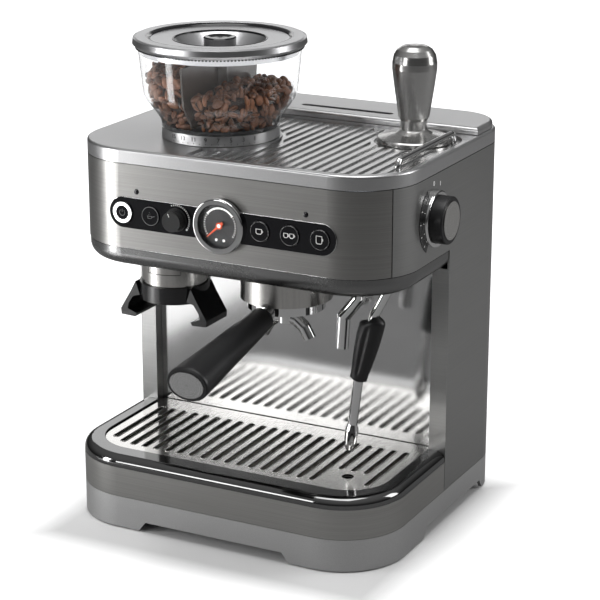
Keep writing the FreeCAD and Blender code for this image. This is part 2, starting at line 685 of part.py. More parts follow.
# ---- controls --------------------------------------------------------------------------------
def control_strip():
    """Black gloss strip with openings for the controls."""
    back = STRIP_FRONT + 5.0
    seat = forward_rod(0, STRIP_Z, GAUGE_SEAT_R, STRIP_FRONT, back)
    strip = pill(STRIP_HALF, STRIP_R, STRIP_Z, STRIP_FRONT, back).fuse(seat).removeSplitter()
    holes = [(POWER_X, POWER_R), (GRIND_BUTTON_X, GRIND_BUTTON_R), (GRIND_DIAL_X, 4.0)]
    holes += [(x, BREW_BUTTON_R) for x in BREW_BUTTON_X]
    cuts = [forward_rod(x, STRIP_Z, r + GAP, 0, 60) for x, r in holes]
    cuts.append(forward_rod(0, STRIP_Z, GAUGE_R - 2.4, 0, STRIP_FRONT + 1.8))
    cuts.append(forward_rod(0, STRIP_Z, 1.55, 0, 60))
    return strip.cut(cuts)


def push_button(x, r):
    """Round button that stands slightly proud of the strip."""
    cap = forward_rod(x, STRIP_Z, r, STRIP_FRONT - 1.0, STRIP_FRONT + 7.0)
    front = [e for e in cap.Edges if abs(e.BoundBox.YMax - (STRIP_FRONT - 1.0)) < 0.01]
    return cap.makeFillet(0.6, front)


def grind_dial():
    """Knurled knob that sets the dose."""
    skirt = forward_rod(GRIND_DIAL_X, STRIP_Z, GRIND_DIAL_R + 1.3, STRIP_FRONT - 2.4, STRIP_FRONT - 0.3)
    knob = forward_rod(GRIND_DIAL_X, STRIP_Z, GRIND_DIAL_R, STRIP_FRONT - 9.0, STRIP_FRONT - 2.4)
    shaft = forward_rod(GRIND_DIAL_X, STRIP_Z, 4.0, STRIP_FRONT - 0.3, STRIP_FRONT + 8.0)
    grooves = []
    for i in range(24):
        a = math.radians(15 * i)
        x = GRIND_DIAL_X + (GRIND_DIAL_R + 0.2) * math.cos(a)
        z = STRIP_Z + (GRIND_DIAL_R + 0.2) * math.sin(a)
        grooves.append(forward_rod(x, z, 0.55, STRIP_FRONT - 8, STRIP_FRONT - 2.4))
    return knob.cut(grooves).fuse([skirt, shaft]).removeSplitter()


def gauge_bezel():
    """Chrome ring that stands proud round the gauge's well."""
    ring = forward_rod(0, STRIP_Z, GAUGE_R, STRIP_FRONT - 4.2, STRIP_FRONT - 0.02)
    edge = [e for e in ring.Edges if abs(e.BoundBox.YMax - (STRIP_FRONT - 4.2)) < 0.01]
    ring = ring.makeFillet(1.4, edge)
    return ring.cut([forward_rod(0, STRIP_Z, GAUGE_R - 4.4, 0, 60),
                     forward_rod(0, STRIP_Z, GAUGE_R - 2.6, STRIP_FRONT - 2.6, 60)])


def gauge_face():
    """Black dial at the bottom of the gauge's well."""
    disc = forward_rod(0, STRIP_Z, GAUGE_R - 2.7, STRIP_FRONT + 0.4, STRIP_FRONT + 1.6)
    return disc.cut(forward_rod(0, STRIP_Z, 1.6, 0, 60))


def gauge_needle():
    """Pointer on its spindle, resting at the low end of the scale."""
    hub = forward_rod(0, STRIP_Z, 2.6, STRIP_FRONT - 1.4, STRIP_FRONT - 0.2)
    spindle = forward_rod(0, STRIP_Z, 1.5, STRIP_FRONT - 0.2, STRIP_FRONT + 3.0)
    tip = [(-1.1, -4.0), (1.1, -4.0), (0.35, 14.5), (-0.35, 14.5)]
    wire = Part.makePolygon([V(a, STRIP_FRONT - 1.1, STRIP_Z + b) for a, b in tip + tip[:1]])
    hand = Part.Face(wire).extrude(V(0, 0.7, 0))
    hand.rotate(V(0, 0, STRIP_Z), BACKWARD, -132.0)
    return hub.fuse([spindle, hand]).removeSplitter()


def gauge_lens():
    """Clear disc over the gauge."""
    return forward_rod(0, STRIP_Z, GAUGE_R - 2.8, STRIP_FRONT - 2.6, STRIP_FRONT - 1.7)


def dial_escutcheon():
    """Chrome ring round the steam dial."""
    ring = side_rod(SIDE_DIAL_Y, SIDE_DIAL_Z, 22.4, HALF_W, HALF_W + 4.5)
    edge = [e for e in ring.Edges if abs(e.BoundBox.XMin - (HALF_W + 4.5)) < 0.01]
    ring = ring.makeFillet(1.6, edge)
    return ring.cut([side_rod(SIDE_DIAL_Y, SIDE_DIAL_Z, SIDE_DIAL_R + 0.5, HALF_W + 1.2, HALF_W + 9),
                     side_rod(SIDE_DIAL_Y, SIDE_DIAL_Z, 6.4, HALF_W - 1, HALF_W + 9)])


def steam_dial():
    """Black knob on the right side that opens the steam or hot-water valve."""
    knob = side_rod(SIDE_DIAL_Y, SIDE_DIAL_Z, SIDE_DIAL_R, HALF_W + 1.6, SIDE_DIAL_FACE)
    edge = [e for e in knob.Edges if abs(e.BoundBox.XMin - SIDE_DIAL_FACE) < 0.01]
    knob = knob.makeFillet(1.2, edge)
    dish = side_rod(SIDE_DIAL_Y, SIDE_DIAL_Z, 15.2, SIDE_DIAL_FACE - 1.0, SIDE_DIAL_FACE + 5)
    shaft = side_rod(SIDE_DIAL_Y, SIDE_DIAL_Z, 6.0, HALF_W - 14, HALF_W + 2)
    return knob.cut(dish).fuse(shaft).removeSplitter()


def dial_cap():
    """Brushed disc set into the steam dial's face."""
    return side_rod(SIDE_DIAL_Y, SIDE_DIAL_Z, 15.0, SIDE_DIAL_FACE - 1.0, DIAL_CAP_FACE)


# ---- boiler, pump, steam and water -----------------------------------------------------------
def thermoblock():
    """Heater block over the group."""
    x, y = GROUP
    block = box(x - 24, x + 38, y - 30, y + 34, 221.0, 256.0)
    ribs = [box(x - 24 + 11 * i, x - 21 + 11 * i, y - 30, y + 34, 256.0, 264.0) for i in range(6)]
    return block.fuse(ribs).cut(upright(GROUP, 3.0, 210, 240)).removeSplitter()


def pump():
    """Vibration pump on the base deck behind the splash panel."""
    coil = box(56, 92, 150, 186, 70.0, 120.0)
    ends = upright((74, 168), 12.0, 40.0, 150.0)
    foot = box(60, 88, 154, 182, RING_TOP, 40.0)
    return coil.fuse([ends, foot]).removeSplitter()


def path_points(path, y):
    """A path of (x, z) places as points in the plane at y."""
    return [V(x, y, z) for x, z in path]


def wand_tube():
    """Bent steel tube of the steam wand."""
    points = path_points(WAND_PATH, WAND_Y)
    end = points[-1] + (points[-2] - points[-1]).normalize() * 22
    tube = tube_along(points[:-1] + [end], WAND_R)
    ball = Part.makeSphere(6.4, V(WAND_PATH[0][0], WAND_Y, 220.5))
    return tube.fuse(ball).removeSplitter()


def wand_grip():
    """Black sleeve with a finger tab, fixed on the tube."""
    points = path_points(WAND_PATH, WAND_Y)
    along = (points[2] - points[1]).normalize()
    start = points[1] + along * 1.5
    sleeve = Part.makeCone(9.0, 7.2, 54.0, start, along)
    tab = Part.makeCone(5.0, 4.0, 14.0, start + V(5.5, -3.0, -1.0), V(0.62, -0.3, 0.72))
    bore = Part.makeCylinder(WAND_R, 100.0, start - along * 20, along)
    bend = Part.makeSphere(WAND_R, points[1])
    upper = Part.makeCylinder(WAND_R, 40, points[1], points[0] - points[1])
    return sleeve.fuse(tab).cut([bore, bend, upper]).removeSplitter()


def wand_tip():
    """Steam tip on the end of the tube."""
    points = path_points(WAND_PATH, WAND_Y)
    along = (points[-1] - points[-2]).normalize()
    start = points[-1] - along * 22
    shoulder = Part.makeCone(WAND_R, 5.4, 5.0, start, along)
    barrel = Part.makeCone(5.4, 5.0, 12.0, start + along * 5, along)
    nose = Part.makeCone(5.0, 3.0, 5.0, start + along * 17, along)
    bore = Part.makeCylinder(1.0, 30, start + along * 2, along)
    return shoulder.fuse([barrel, nose]).cut(bore).removeSplitter()


def hot_water_pipe():
    """Bent chrome pipe beside the wand, open at its lower end."""
    points = path_points(PIPE_PATH, PIPE_Y)
    pipe = tube_along(points, PIPE_R)
    bore = Part.makeCylinder(3.6, 16, points[-1] + V(0, 0, 14), V(0, 0, -1))
    return pipe.cut(bore)


# ---- tamper ----------------------------------------------------------------------------------
def tamper_base():
    """Steel tamping disc with a flared bell."""
    low = TRAY_FLOOR + 0.3
    return lathe(TAMPER, [(0, low), (TAMPER_R - 0.6, low), (TAMPER_R, low + 0.6), (TAMPER_R, low + 4.6),
                          (TAMPER_R - 0.8, low + 5.4), (22.0, low + 6.6), (15.0, low + 8.4),
                          (11.6, low + 10.4), (10.4, low + 11.4), (10.4, 320.0), (0, 320.0)])


def tamper_handle():
    """Polished tamper handle: a neck, then a swelling grip with a domed top."""
    return lathe(TAMPER, [(0, 320.0), (10.6, 320.0), (10.6, 327.0), (12.2, 329.5), (13.8, 340.0),
                          (15.6, 352.0), (17.2, 364.0), (17.7, 368.0), (17.7, 373.0), (16.6, 379.0),
                          (14.0, 383.2), (10.0, 385.8), (5.0, 386.8), (0, 387.0)])


# ---- drip tray -------------------------------------------------------------------------------
def tray_plan(inset, z0, z1):
    """The tray's plan: the base's outline in front, narrower where it passes between the columns."""
    wide = base_prism(inset, z0, z1).common(box(-FAR, FAR, -5, COLUMN_FRONT - 0.6 - inset, z0, z1))
    narrow_half = COLUMN_INNER - 1.0 - inset
    narrow = box(-narrow_half, narrow_half, 60, SPLASH_FRONT - 0.8 - inset, z0, z1)
    return wide.fuse(narrow).removeSplitter()


def drip_tray():
    """Tub that catches the drips; its front and sides are the machine's brushed band."""
    tub = tray_plan(0, BAND_LOW, BAND_TOP)
    hollow = tray_plan(3.0, BAND_LOW + 2.4, BAND_TOP + 5)
    return tub.cut(hollow)


def tray_rim():
    """Broad chrome rim on the tub, rounded on its outside."""
    low = BAND_TOP + 0.1
    block = base_prism(0.2, low, RIM_TOP).common(box(-FAR, FAR, -5, COLUMN_FRONT - 0.6, low, RIM_TOP))
    outside = edges_at(block, RIM_TOP, lambda c, b: b.YMin < COLUMN_FRONT - 1.0)
    block = block.makeFillet(7.0, outside)
    plan = outline(GRILLE_HALF + 0.4, GRILLE_FRONT - 0.4, 220, GRILLE_CORNER, 20)
    opening = prism(plan, low - 5, RIM_TOP + 5)
    return block.cut(opening)


def slot_places():
    """X places of the grille's slots."""
    return [SLOT_PITCH * (i - (SLOT_COUNT - 1) / 2) for i in range(SLOT_COUNT)]


def tray_grille():
    """Steel cup grid with long slots and the float's round hole."""
    low = BAND_TOP + 0.2
    plate = prism(outline(GRILLE_HALF, GRILLE_FRONT, GRILLE_BACK, GRILLE_CORNER, 3.0), low, GRILLE_TOP)
    pan = prism(outline(GRILLE_HALF - 2.0, GRILLE_FRONT + 2.0, GRILLE_BACK - 2.0, GRILLE_CORNER - 2, 1.5),
                low - 1, GRILLE_TOP - 1.6)
    cuts = [pan]
    for x in slot_places():
        in_corner = max(0.0, abs(x) - (GRILLE_HALF - GRILLE_CORNER))
        bow = GRILLE_CORNER - math.sqrt(GRILLE_CORNER ** 2 - in_corner ** 2)
        front = SLOT_FRONT + bow
        if abs(x - FLOAT[0]) < 1.2 * SLOT_PITCH:
            front = FLOAT[1] + FLOAT_R + 6
        cuts.append(slot(x, front, SLOT_BACK, SLOT_WIDTH, 40, 80))
    cuts.append(upright(FLOAT, FLOAT_R + 0.4, 40, 80))
    return plate.cut(cuts)


def tray_float():
    """Float that rises through the grille when the tray is full."""
    stem = upright(FLOAT, FLOAT_R, 42.0, GRILLE_TOP - 1.8)
    body = upright(FLOAT, 12.0, BAND_LOW + 2.7, 42.0)
    return body.fuse(stem).removeSplitter()


# ---- all parts -------------------------------------------------------------------------------
def build():
    """Every part by name, moved to the shared origin."""
    parts = {
        "base_ring": base_ring(),
        "rubber_feet": rubber_feet(),
        "side_panel_left": side_panel(-1),
        "side_panel_right": side_panel(1),
        "rear_panel": rear_panel(),
        "case_screws": case_screws(),
        "cord_inlet": cord_inlet(),
        "splash_panel": splash_panel(),
        "head_underside": head_underside(),
        "fascia": fascia(),
        "top_frame": top_frame(),
        "cup_tray": cup_tray(),
        "cup_rail": cup_rail(),
        "tank_lid": tank_lid(),
        "water_tank": water_tank(),
        "hopper_glass": hopper_glass(),
        "hopper_ring": hopper_ring(),
        "hopper_lid": hopper_lid(),
        "hopper_lid_knob": hopper_lid_knob(),
        "burr_housing": burr_housing(),
        "upper_burr": upper_burr(),
        "lower_burr": lower_burr(),
        "grinder_motor": grinder_motor(),
        "outlet_cover": outlet_cover(),
        "portafilter_cradle": portafilter_cradle(),
        "group_cover": group_cover(),
        "group_head": group_head(),
        "group_gasket": group_gasket(),
        "shower_screen": shower_screen(),
        "portafilter_body": portafilter_body(),
        "filter_basket": filter_basket(),
        "twin_spout": twin_spout(),
        "handle_grip": handle_grip(),
        "handle_cap": handle_cap(),
        "control_strip": control_strip(),
        "power_button": push_button(POWER_X, POWER_R),
        "grind_button": push_button(GRIND_BUTTON_X, GRIND_BUTTON_R),
        "grind_dial": grind_dial(),
        "gauge_bezel": gauge_bezel(),
        "gauge_face": gauge_face(),
        "gauge_needle": gauge_needle(),
        "gauge_lens": gauge_lens(),
        "dial_escutcheon": dial_escutcheon(),
        "steam_dial": steam_dial(),
        "dial_cap": dial_cap(),
        "thermoblock": thermoblock(),
        "pump": pump(),
        "wand_tube": wand_tube(),
        "wand_grip": wand_grip(),
        "wand_tip": wand_tip(),
        "hot_water_pipe": hot_water_pipe(),
        "tamper_base": tamper_base(),
        "tamper_handle": tamper_handle(),
        "drip_tray": drip_tray(),
        "tray_rim": tray_rim(),
        "tray_grille": tray_grille(),
        "tray_float": tray_float(),
    }
    for i, x in enumerate(BREW_BUTTON_X):
        parts["brew_button_%d" % (i + 1)] = push_button(x, BREW_BUTTON_R)
    for name, shape in parts.items():
        if isinstance(shape, list):
            shape = Part.makeCompound(shape)
        parts[name] = shape.translated(ORIGIN)
    return parts


def write(parts):
    """One STEP file for each part."""
    os.makedirs("parts", exist_ok=True)
    for name, shape in parts.items():
        shape.exportStep("parts/%s.step" % name)
        state = (name, len(shape.Solids), shape.isValid(), shape.Volume)
        print("%-20s solids %d  valid %s  volume %.0f" % state)


PARTS = build()
write(PARTS)
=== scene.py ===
"""Looks of a pump espresso machine with a built-in burr grinder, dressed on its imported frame.

Lengths are in metres and angles in radians.  The frame's bodies and boxes say where everything is;
the classes below add what the frame leaves plain, such as the beans, the prints and the finishes.
"""
import logging
import math
from dataclasses import dataclass, field
from enum import Enum
from functools import lru_cache
from typing import Iterable, Sequence

import bmesh
import bpy
from mathutils import Matrix, Vector


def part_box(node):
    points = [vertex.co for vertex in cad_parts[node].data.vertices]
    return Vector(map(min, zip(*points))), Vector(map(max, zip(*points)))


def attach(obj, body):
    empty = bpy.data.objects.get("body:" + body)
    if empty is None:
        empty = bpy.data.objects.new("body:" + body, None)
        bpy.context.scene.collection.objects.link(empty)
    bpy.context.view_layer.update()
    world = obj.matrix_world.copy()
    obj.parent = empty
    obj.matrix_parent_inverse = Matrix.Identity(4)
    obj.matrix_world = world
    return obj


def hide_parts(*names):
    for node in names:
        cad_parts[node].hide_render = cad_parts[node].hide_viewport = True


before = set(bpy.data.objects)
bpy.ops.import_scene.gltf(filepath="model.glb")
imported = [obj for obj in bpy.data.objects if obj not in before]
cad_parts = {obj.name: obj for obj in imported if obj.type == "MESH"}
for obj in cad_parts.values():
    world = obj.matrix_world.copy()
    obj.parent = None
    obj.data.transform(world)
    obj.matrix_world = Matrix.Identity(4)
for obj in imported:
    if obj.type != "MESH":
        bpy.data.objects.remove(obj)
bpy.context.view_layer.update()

LOG = logging.getLogger("espresso_machine")
MM = 0.001
FULL_TURN = 2 * math.pi

Triple = tuple[float, float, float]
Profile = Sequence[tuple[float, float]]


class Body(str, Enum):
    """The moving bodies that new pieces ride on."""

    MACHINE = "machine"
    HOPPER = "hopper"
    HOPPER_LID = "hopper_lid"
    GRILLE = "tray_grille"
    WAND = "steam_wand"
    STEAM_DIAL = "steam_dial"
    DOSE_DIAL = "grind_dial"
    POWER = "power_button"
    GRIND = "grind_button"
    BREW_1 = "brew_button_1"
    BREW_2 = "brew_button_2"
    BREW_3 = "brew_button_3"


class Facing(Enum):
    """The side that a flat detail faces, as its right, up and outward directions."""

    FRONT = ((1, 0, 0), (0, 0, 1), (0, -1, 0))
    RIGHT = ((0, 1, 0), (0, 0, 1), (1, 0, 0))
    TOP = ((1, 0, 0), (0, 1, 0), (0, 0, 1))

    def place(self, centre: Vector, across: float, up: float, out: float = 0.0) -> Vector:
        """The point that lies so far across, up and out from centre."""
        right, top, outward = (Vector(v) for v in self.value)
        return centre + right * across + top * up + outward * out

    def turn(self) -> Matrix:
        """The rotation that takes X, Y and Z to this side's right, up and outward directions."""
        return Matrix([Vector(v) for v in self.value]).transposed()


# ---- node sheets -----------------------------------------------------------------------------
class Wire:
    """An output socket that can stand in an expression: each operator adds one Math node."""

    def __init__(self, sheet: "NodeSheet", socket: bpy.types.NodeSocket) -> None:
        """Keeps the sheet that the socket belongs to."""
        self.sheet = sheet
        self.socket = socket

    def __add__(self, other: "Wire | float") -> "Wire":
        """Self plus other."""
        return self.sheet.math("ADD", self, other)

    def __sub__(self, other: "Wire | float") -> "Wire":
        """Self less other."""
        return self.sheet.math("SUBTRACT", self, other)

    def __rsub__(self, other: float) -> "Wire":
        """Other less self."""
        return self.sheet.math("SUBTRACT", other, self)

    def __mul__(self, other: "Wire | float") -> "Wire":
        """Self times other."""
        return self.sheet.math("MULTIPLY", self, other)

    def __truediv__(self, other: "Wire | float") -> "Wire":
        """Self over other."""
        return self.sheet.math("DIVIDE", self, other)

    def __rtruediv__(self, other: float) -> "Wire":
        """Other over self."""
        return self.sheet.math("DIVIDE", other, self)

    __radd__ = __add__
    __rmul__ = __mul__


Feed = "Wire | float | int | bool | Sequence[float] | bpy.types.Material"


class NodeSheet:
    """A node tree that is filled by expressions and by one method for every other node."""

    def __init__(self, tree: bpy.types.NodeTree) -> None:
        """Starts on an empty tree."""
        self.tree = tree
        tree.nodes.clear()

    def node(self, kind: str, settings: dict | None = None, inputs: dict | None = None) -> bpy.types.Node:
        """Adds a node.

        Args:
            kind: the node's type, such as "ShaderNodeTexNoise".
            settings: its properties, set first; "stops" are a ramp's places and colours.
            inputs: values or wires by socket name or number.

        Returns:
            The new node.
        """
        made = self.tree.nodes.new(kind)
        for name, value in (settings or {}).items():
            if name == "stops":
                self._set_stops(made.color_ramp, value)
            else:
                setattr(made, name, value)
        for key, value in (inputs or {}).items():
            self._feed(made.inputs[key], value)
        return made

    def wire(self, kind: str, settings: dict | None = None, inputs: dict | None = None,
             output: int | str = 0) -> Wire:
        """Adds a node as node() does, and returns one of its outputs as a wire."""
        return Wire(self, self.node(kind, settings, inputs).outputs[output])

    def math(self, operation: str, *values: "Wire | float") -> Wire:
        """Adds one Math node of that operation over the values."""
        return self.wire("ShaderNodeMath", {"operation": operation}, dict(enumerate(values)))

    def vector(self, x: "Wire | float", y: "Wire | float", z: "Wire | float") -> Wire:
        """Joins three numbers into a vector."""
        return self.wire("ShaderNodeCombineXYZ", inputs={0: x, 1: y, 2: z})

    def parts(self, vector: Wire) -> tuple[Wire, ...]:
        """A vector's X, Y and Z."""
        split = self.node("ShaderNodeSeparateXYZ", inputs={0: vector})
        return tuple(Wire(self, output) for output in split.outputs)

    def blend(self, factor: Wire, low: Triple, high: Triple) -> Wire:
        """The colour between low and high at a factor from 0 to 1."""
        return self.wire("ShaderNodeMix", {"data_type": "RGBA"},
                         {0: factor, 6: (*low, 1.0), 7: (*high, 1.0)}, output=2)

    def spread(self, value: Wire, low: float, high: float, start: float = 0.0, end: float = 1.0) -> Wire:
        """Maps value from start..end to low..high and clamps it."""
        return self.wire("ShaderNodeMapRange", {"clamp": True}, {0: value, 1: start, 2: end, 3: low, 4: high})

    def _feed(self, socket: bpy.types.NodeSocket, value: Feed) -> None:
        """Links a wire to a socket, or sets the socket's own value."""
        if isinstance(value, Wire):
            self.tree.links.new(value.socket, socket)
        else:
            socket.default_value = value

    @staticmethod
    def _set_stops(ramp: bpy.types.ColorRamp, stops: Sequence[tuple[float, Triple]]) -> None:
        """Gives a colour ramp its stops."""
        while len(ramp.elements) < len(stops):
            ramp.elements.new(1.0)
        for element, (place, colour) in zip(ramp.elements, stops):
            element.position = place
            element.color = (*colour, 1.0)


# ---- finishes --------------------------------------------------------------------------------
@dataclass(frozen=True)
class Finish:
    """What every finish shares: a name, a colour and a material that is made once."""

    name: str
    colour: Triple

    def material(self) -> bpy.types.Material:
        """The finish as a material; the same one each time it is asked for."""
        title = "finish_" + self.name
        known = bpy.data.materials.get(title)
        if known is not None:
            return known
        made = bpy.data.materials.new(title)
        made.use_nodes = True
        sheet = NodeSheet(made.node_tree)
        sheet.node("ShaderNodeOutputMaterial", inputs={"Surface": self.shade(sheet)})
        return made

    def shade(self, sheet: NodeSheet) -> Wire:
        """Lays the finish's nodes and returns its shader."""
        raise NotImplementedError

    @staticmethod
    def noise(sheet: NodeSheet, scale: Triple, detail: float = 3.0) -> Wire:
        """Noise on the piece's own coordinates, with so many cells to the metre along each axis."""
        where = sheet.wire("ShaderNodeTexCoord", output="Object")
        laid = sheet.wire("ShaderNodeMapping", inputs={"Vector": where, "Scale": scale})
        return sheet.wire("ShaderNodeTexNoise", inputs={"Vector": laid, "Scale": 1.0, "Detail": detail})

    @staticmethod
    def bump(sheet: NodeSheet, height: Wire, depth: float) -> Wire:
        """A normal that is roughened by a height of that depth in metres."""
        return sheet.wire("ShaderNodeBump", inputs={"Strength": 1.0, "Distance": depth, "Height": height})

    def tone(self, share: float) -> Triple:
        """The finish's colour, lightened or darkened to a share of itself."""
        return tuple(min(1.0, c * share) for c in self.colour)


@dataclass(frozen=True)
class Steel(Finish):
    """Bare or plated metal with a grain, clouds of gloss and fine rub marks."""

    rough: float = 0.3
    grain: Triple = (40.0, 40.0, 2600.0)
    streak: float = 0.12
    depth: float = 2e-6
    cloud: float = 0.08

    def shade(self, sheet: NodeSheet) -> Wire:
        """Streaks along the grain feed colour, gloss and bump; slow clouds vary the gloss."""
        streaks = self.noise(sheet, self.grain, detail=4.0)
        clouds = self.noise(sheet, (14.0, 14.0, 14.0), detail=5.0)
        tint = sheet.blend(sheet.spread(streaks, 0, 1, 0.3, 0.7), self.tone(1 - self.streak),
                           self.tone(1 + self.streak))
        rough = self.rough + (streaks - 0.5) * (self.streak * 0.8) + (clouds - 0.5) * self.cloud
        inputs = {"Base Color": tint, "Metallic": 1.0, "Roughness": sheet.math("MAXIMUM", rough, 0.02)}
        if self.depth > 0:
            inputs["Normal"] = self.bump(sheet, streaks, self.depth)
        return sheet.wire("ShaderNodeBsdfPrincipled", inputs=inputs)


@dataclass(frozen=True)
class TurnedSteel(Finish):
    """A disc brushed in rings round its centre."""

    centre: Triple = (0, 0, 0)
    rough: float = 0.28
    pitch: float = 0.00016
    gloss_spread: float = 0.16
    depth: float = 3e-6

    def shade(self, sheet: NodeSheet) -> Wire:
        """Noise on the distance from the centre makes the rings."""
        where = sheet.wire("ShaderNodeTexCoord", output="Object")
        offset = sheet.wire("ShaderNodeVectorMath", {"operation": "SUBTRACT"}, {0: where, 1: self.centre})
        reach = sheet.wire("ShaderNodeVectorMath", {"operation": "LENGTH"}, {0: offset}, output="Value")
        rings = sheet.wire("ShaderNodeTexNoise", {"noise_dimensions": "1D"},
                           {"W": reach / self.pitch, "Scale": 1.0, "Detail": 3.0})
        tint = sheet.blend(rings, self.tone(0.8), self.tone(1.15))
        return sheet.wire("ShaderNodeBsdfPrincipled", inputs={
            "Base Color": tint, "Metallic": 1.0, "Roughness": self.rough + (rings - 0.5) * self.gloss_spread,
            "Normal": self.bump(sheet, rings, self.depth)})


@dataclass(frozen=True)
class Moulded(Finish):
    """Plastic or rubber with a fine moulded grain and faint clouds of handling."""

    rough: float = 0.4
    cells: float = 1800.0
    depth: float = 6e-6
    coat: float = 0.0
    specular: float = 0.5

    def shade(self, sheet: NodeSheet) -> Wire:
        """Grain goes to the bump, and clouds to the colour and the gloss."""
        grain = self.noise(sheet, (self.cells,) * 3, detail=2.0)
        clouds = self.noise(sheet, (22.0, 22.0, 22.0), detail=5.0)
        tint = sheet.blend(clouds, self.tone(0.86), self.tone(1.14))
        inputs = {"Base Color": tint, "Roughness": self.rough + (clouds - 0.5) * (0.35 * self.rough),
                  "Coat Weight": self.coat, "Coat Roughness": 0.04, "Specular IOR Level": self.specular}
        if self.depth > 0:
            inputs["Normal"] = self.bump(sheet, grain, self.depth)
        return sheet.wire("ShaderNodeBsdfPrincipled", inputs=inputs)


@dataclass(frozen=True)
class Clear(Finish):
    """Clear moulded plastic or glass with faint smears."""

    rough: float = 0.0
    ior: float = 1.46

    def shade(self, sheet: NodeSheet) -> Wire:
        """Transmission with a little unevenness in the gloss."""
        smear = self.noise(sheet, (35.0, 35.0, 60.0), detail=4.0)
        return sheet.wire("ShaderNodeBsdfPrincipled", inputs={
            "Base Color": (*self.colour, 1.0), "Transmission Weight": 1.0, "IOR": self.ior,
            "Roughness": self.rough + sheet.spread(smear, 0.0, 0.03, 0.5, 0.8)})


@dataclass(frozen=True)
class Lamp(Finish):
    """A lit window with an uneven glow; the same glow also paints light onto white print."""

    strength: float = 3.0

    def shade(self, sheet: NodeSheet) -> Wire:
        """The glow varies a little over the window."""
        patch = self.noise(sheet, (300.0, 300.0, 300.0))
        glow = sheet.blend(patch, self.tone(0.9), self.tone(1.0))
        return sheet.wire("ShaderNodeBsdfPrincipled", inputs={
            "Base Color": (*self.colour, 1.0), "Roughness": 0.3, "Emission Color": glow,
            "Emission Strength": self.strength})


@dataclass(frozen=True)
class Roast(Finish):
    """Roasted beans: each has its own shade, with an oily skin and mottled colour."""

    dark: Triple = (0.035, 0.015, 0.008)
    depth: float = 1.2e-4

    def shade(self, sheet: NodeSheet) -> Wire:
        """The bean's own shade is mixed with a fine mottle, and the colour is darkened along the crease as
        painted shade.
        """
        shade = sheet.wire("ShaderNodeAttribute", {"attribute_name": "bean_shade"}, output="Fac")
        mottle = self.noise(sheet, (420.0, 420.0, 420.0), detail=4.0)
        crease = sheet.wire("ShaderNodeAttribute", {"attribute_name": "bean_crease_painted_shade"}, output="Fac")
        # Painted shade: the colour goes to its dark end along each bean's crease.
        lit = (shade * 0.7 + 0.35) * (mottle + 0.4) * (1.0 - sheet.math("POWER", crease, 2.5))
        tint = sheet.blend(lit, self.dark, self.colour)
        return sheet.wire("ShaderNodeBsdfPrincipled", inputs={
            "Base Color": tint, "Roughness": sheet.spread(mottle, 0.55, 0.28, 0.3, 0.7),
            "Specular IOR Level": 0.55, "Normal": self.bump(sheet, mottle, self.depth)})


FASCIA_STEEL = Steel("fascia_steel", (0.365, 0.36, 0.35), rough=0.33, grain=(9, 9, 2600), streak=0.10)
PANEL_STEEL = Steel("panel_steel", (0.42, 0.42, 0.415), rough=0.34, grain=(9, 9, 1800), streak=0.05)
REAR_STEEL = Steel("rear_steel", (0.24, 0.24, 0.24), rough=0.45, grain=(9, 9, 1500), streak=0.05)
BAND_STEEL = Steel("band_steel", (0.50, 0.495, 0.48), rough=0.34, grain=(9, 9, 2600), streak=0.10)
SATIN_SILVER = Steel("satin_silver", (0.62, 0.62, 0.625), rough=0.33, grain=(1500, 1500, 1500), streak=0.04,
                     depth=1e-6)
LID_SATIN = Steel("lid_satin", (0.62, 0.62, 0.63), rough=0.30, grain=(1500, 1500, 1500), streak=0.04,
                  depth=1e-6)
TRAY_STEEL = Steel("tray_steel", (0.72, 0.71, 0.69), rough=0.14, grain=(1600, 14, 1600), streak=0.04, depth=0)
CUP_STEEL = Steel("cup_steel", (0.62, 0.62, 0.62), rough=0.27, grain=(1600, 14, 1600), streak=0.06,
                  depth=8e-7)
SPLASH_STEEL = Steel("splash_steel", (0.55, 0.55, 0.55), rough=0.13, grain=(24, 24, 24), streak=0.05, depth=0)
CHROME = Steel("chrome", (0.80, 0.80, 0.80), rough=0.05, grain=(60, 60, 60), streak=0.03, depth=0, cloud=0.04)
RIM_CHROME = Steel("rim_chrome", (0.20, 0.20, 0.20), rough=0.08, grain=(60, 60, 60), streak=0.03, depth=0,
                   cloud=0.04)
COVER_STEEL = Steel("cover_steel", (0.60, 0.59, 0.57), rough=0.24, grain=(700, 700, 12), streak=0.08)
TAMPER_STEEL = Steel("tamper_steel", (0.58, 0.575, 0.565), rough=0.24, grain=(20, 20, 1200), streak=0.05,
                     depth=6e-7, cloud=0.04)
CAST_ALLOY = Steel("cast_alloy", (0.50, 0.50, 0.50), rough=0.5, grain=(700, 700, 700), streak=0.1, depth=3e-5)
SCREW_STEEL = Steel("screw_steel", (0.28, 0.28, 0.28), rough=0.3, grain=(600, 600, 600), streak=0.08)
BASKET_STEEL = Steel("basket_steel", (0.62, 0.61, 0.60), rough=0.2, grain=(300, 300, 20), streak=0.06)
MOTOR_STEEL = Steel("motor_steel", (0.40, 0.40, 0.41), rough=0.4, grain=(30, 30, 900), streak=0.08)
BURR_STEEL = Steel("burr_steel", (0.45, 0.45, 0.46), rough=0.3, grain=(500, 500, 60), streak=0.08)
RING_PLASTIC = Steel("ring_plastic", (0.74, 0.74, 0.74), rough=0.42, grain=(1500, 1500, 1500), streak=0.05)
TRIM_PLASTIC = Steel("trim_plastic", (0.24, 0.24, 0.24), rough=0.27, grain=(900, 900, 900), streak=0.03,
                     depth=0)
BLACK_PLASTIC = Moulded("black_plastic", (0.010, 0.010, 0.011), rough=0.25, coat=0.3)
GLOSS_BLACK = Moulded("gloss_black", (0.004, 0.004, 0.006), rough=0.16, depth=0, coat=0.25, specular=0.35)
KNOB_BLACK = Moulded("knob_black", (0.020, 0.020, 0.020), rough=0.3, coat=0.2)
GRIP_BLACK = Moulded("grip_black", (0.013, 0.013, 0.014), rough=0.40, specular=0.5, cells=2600, depth=8e-6)
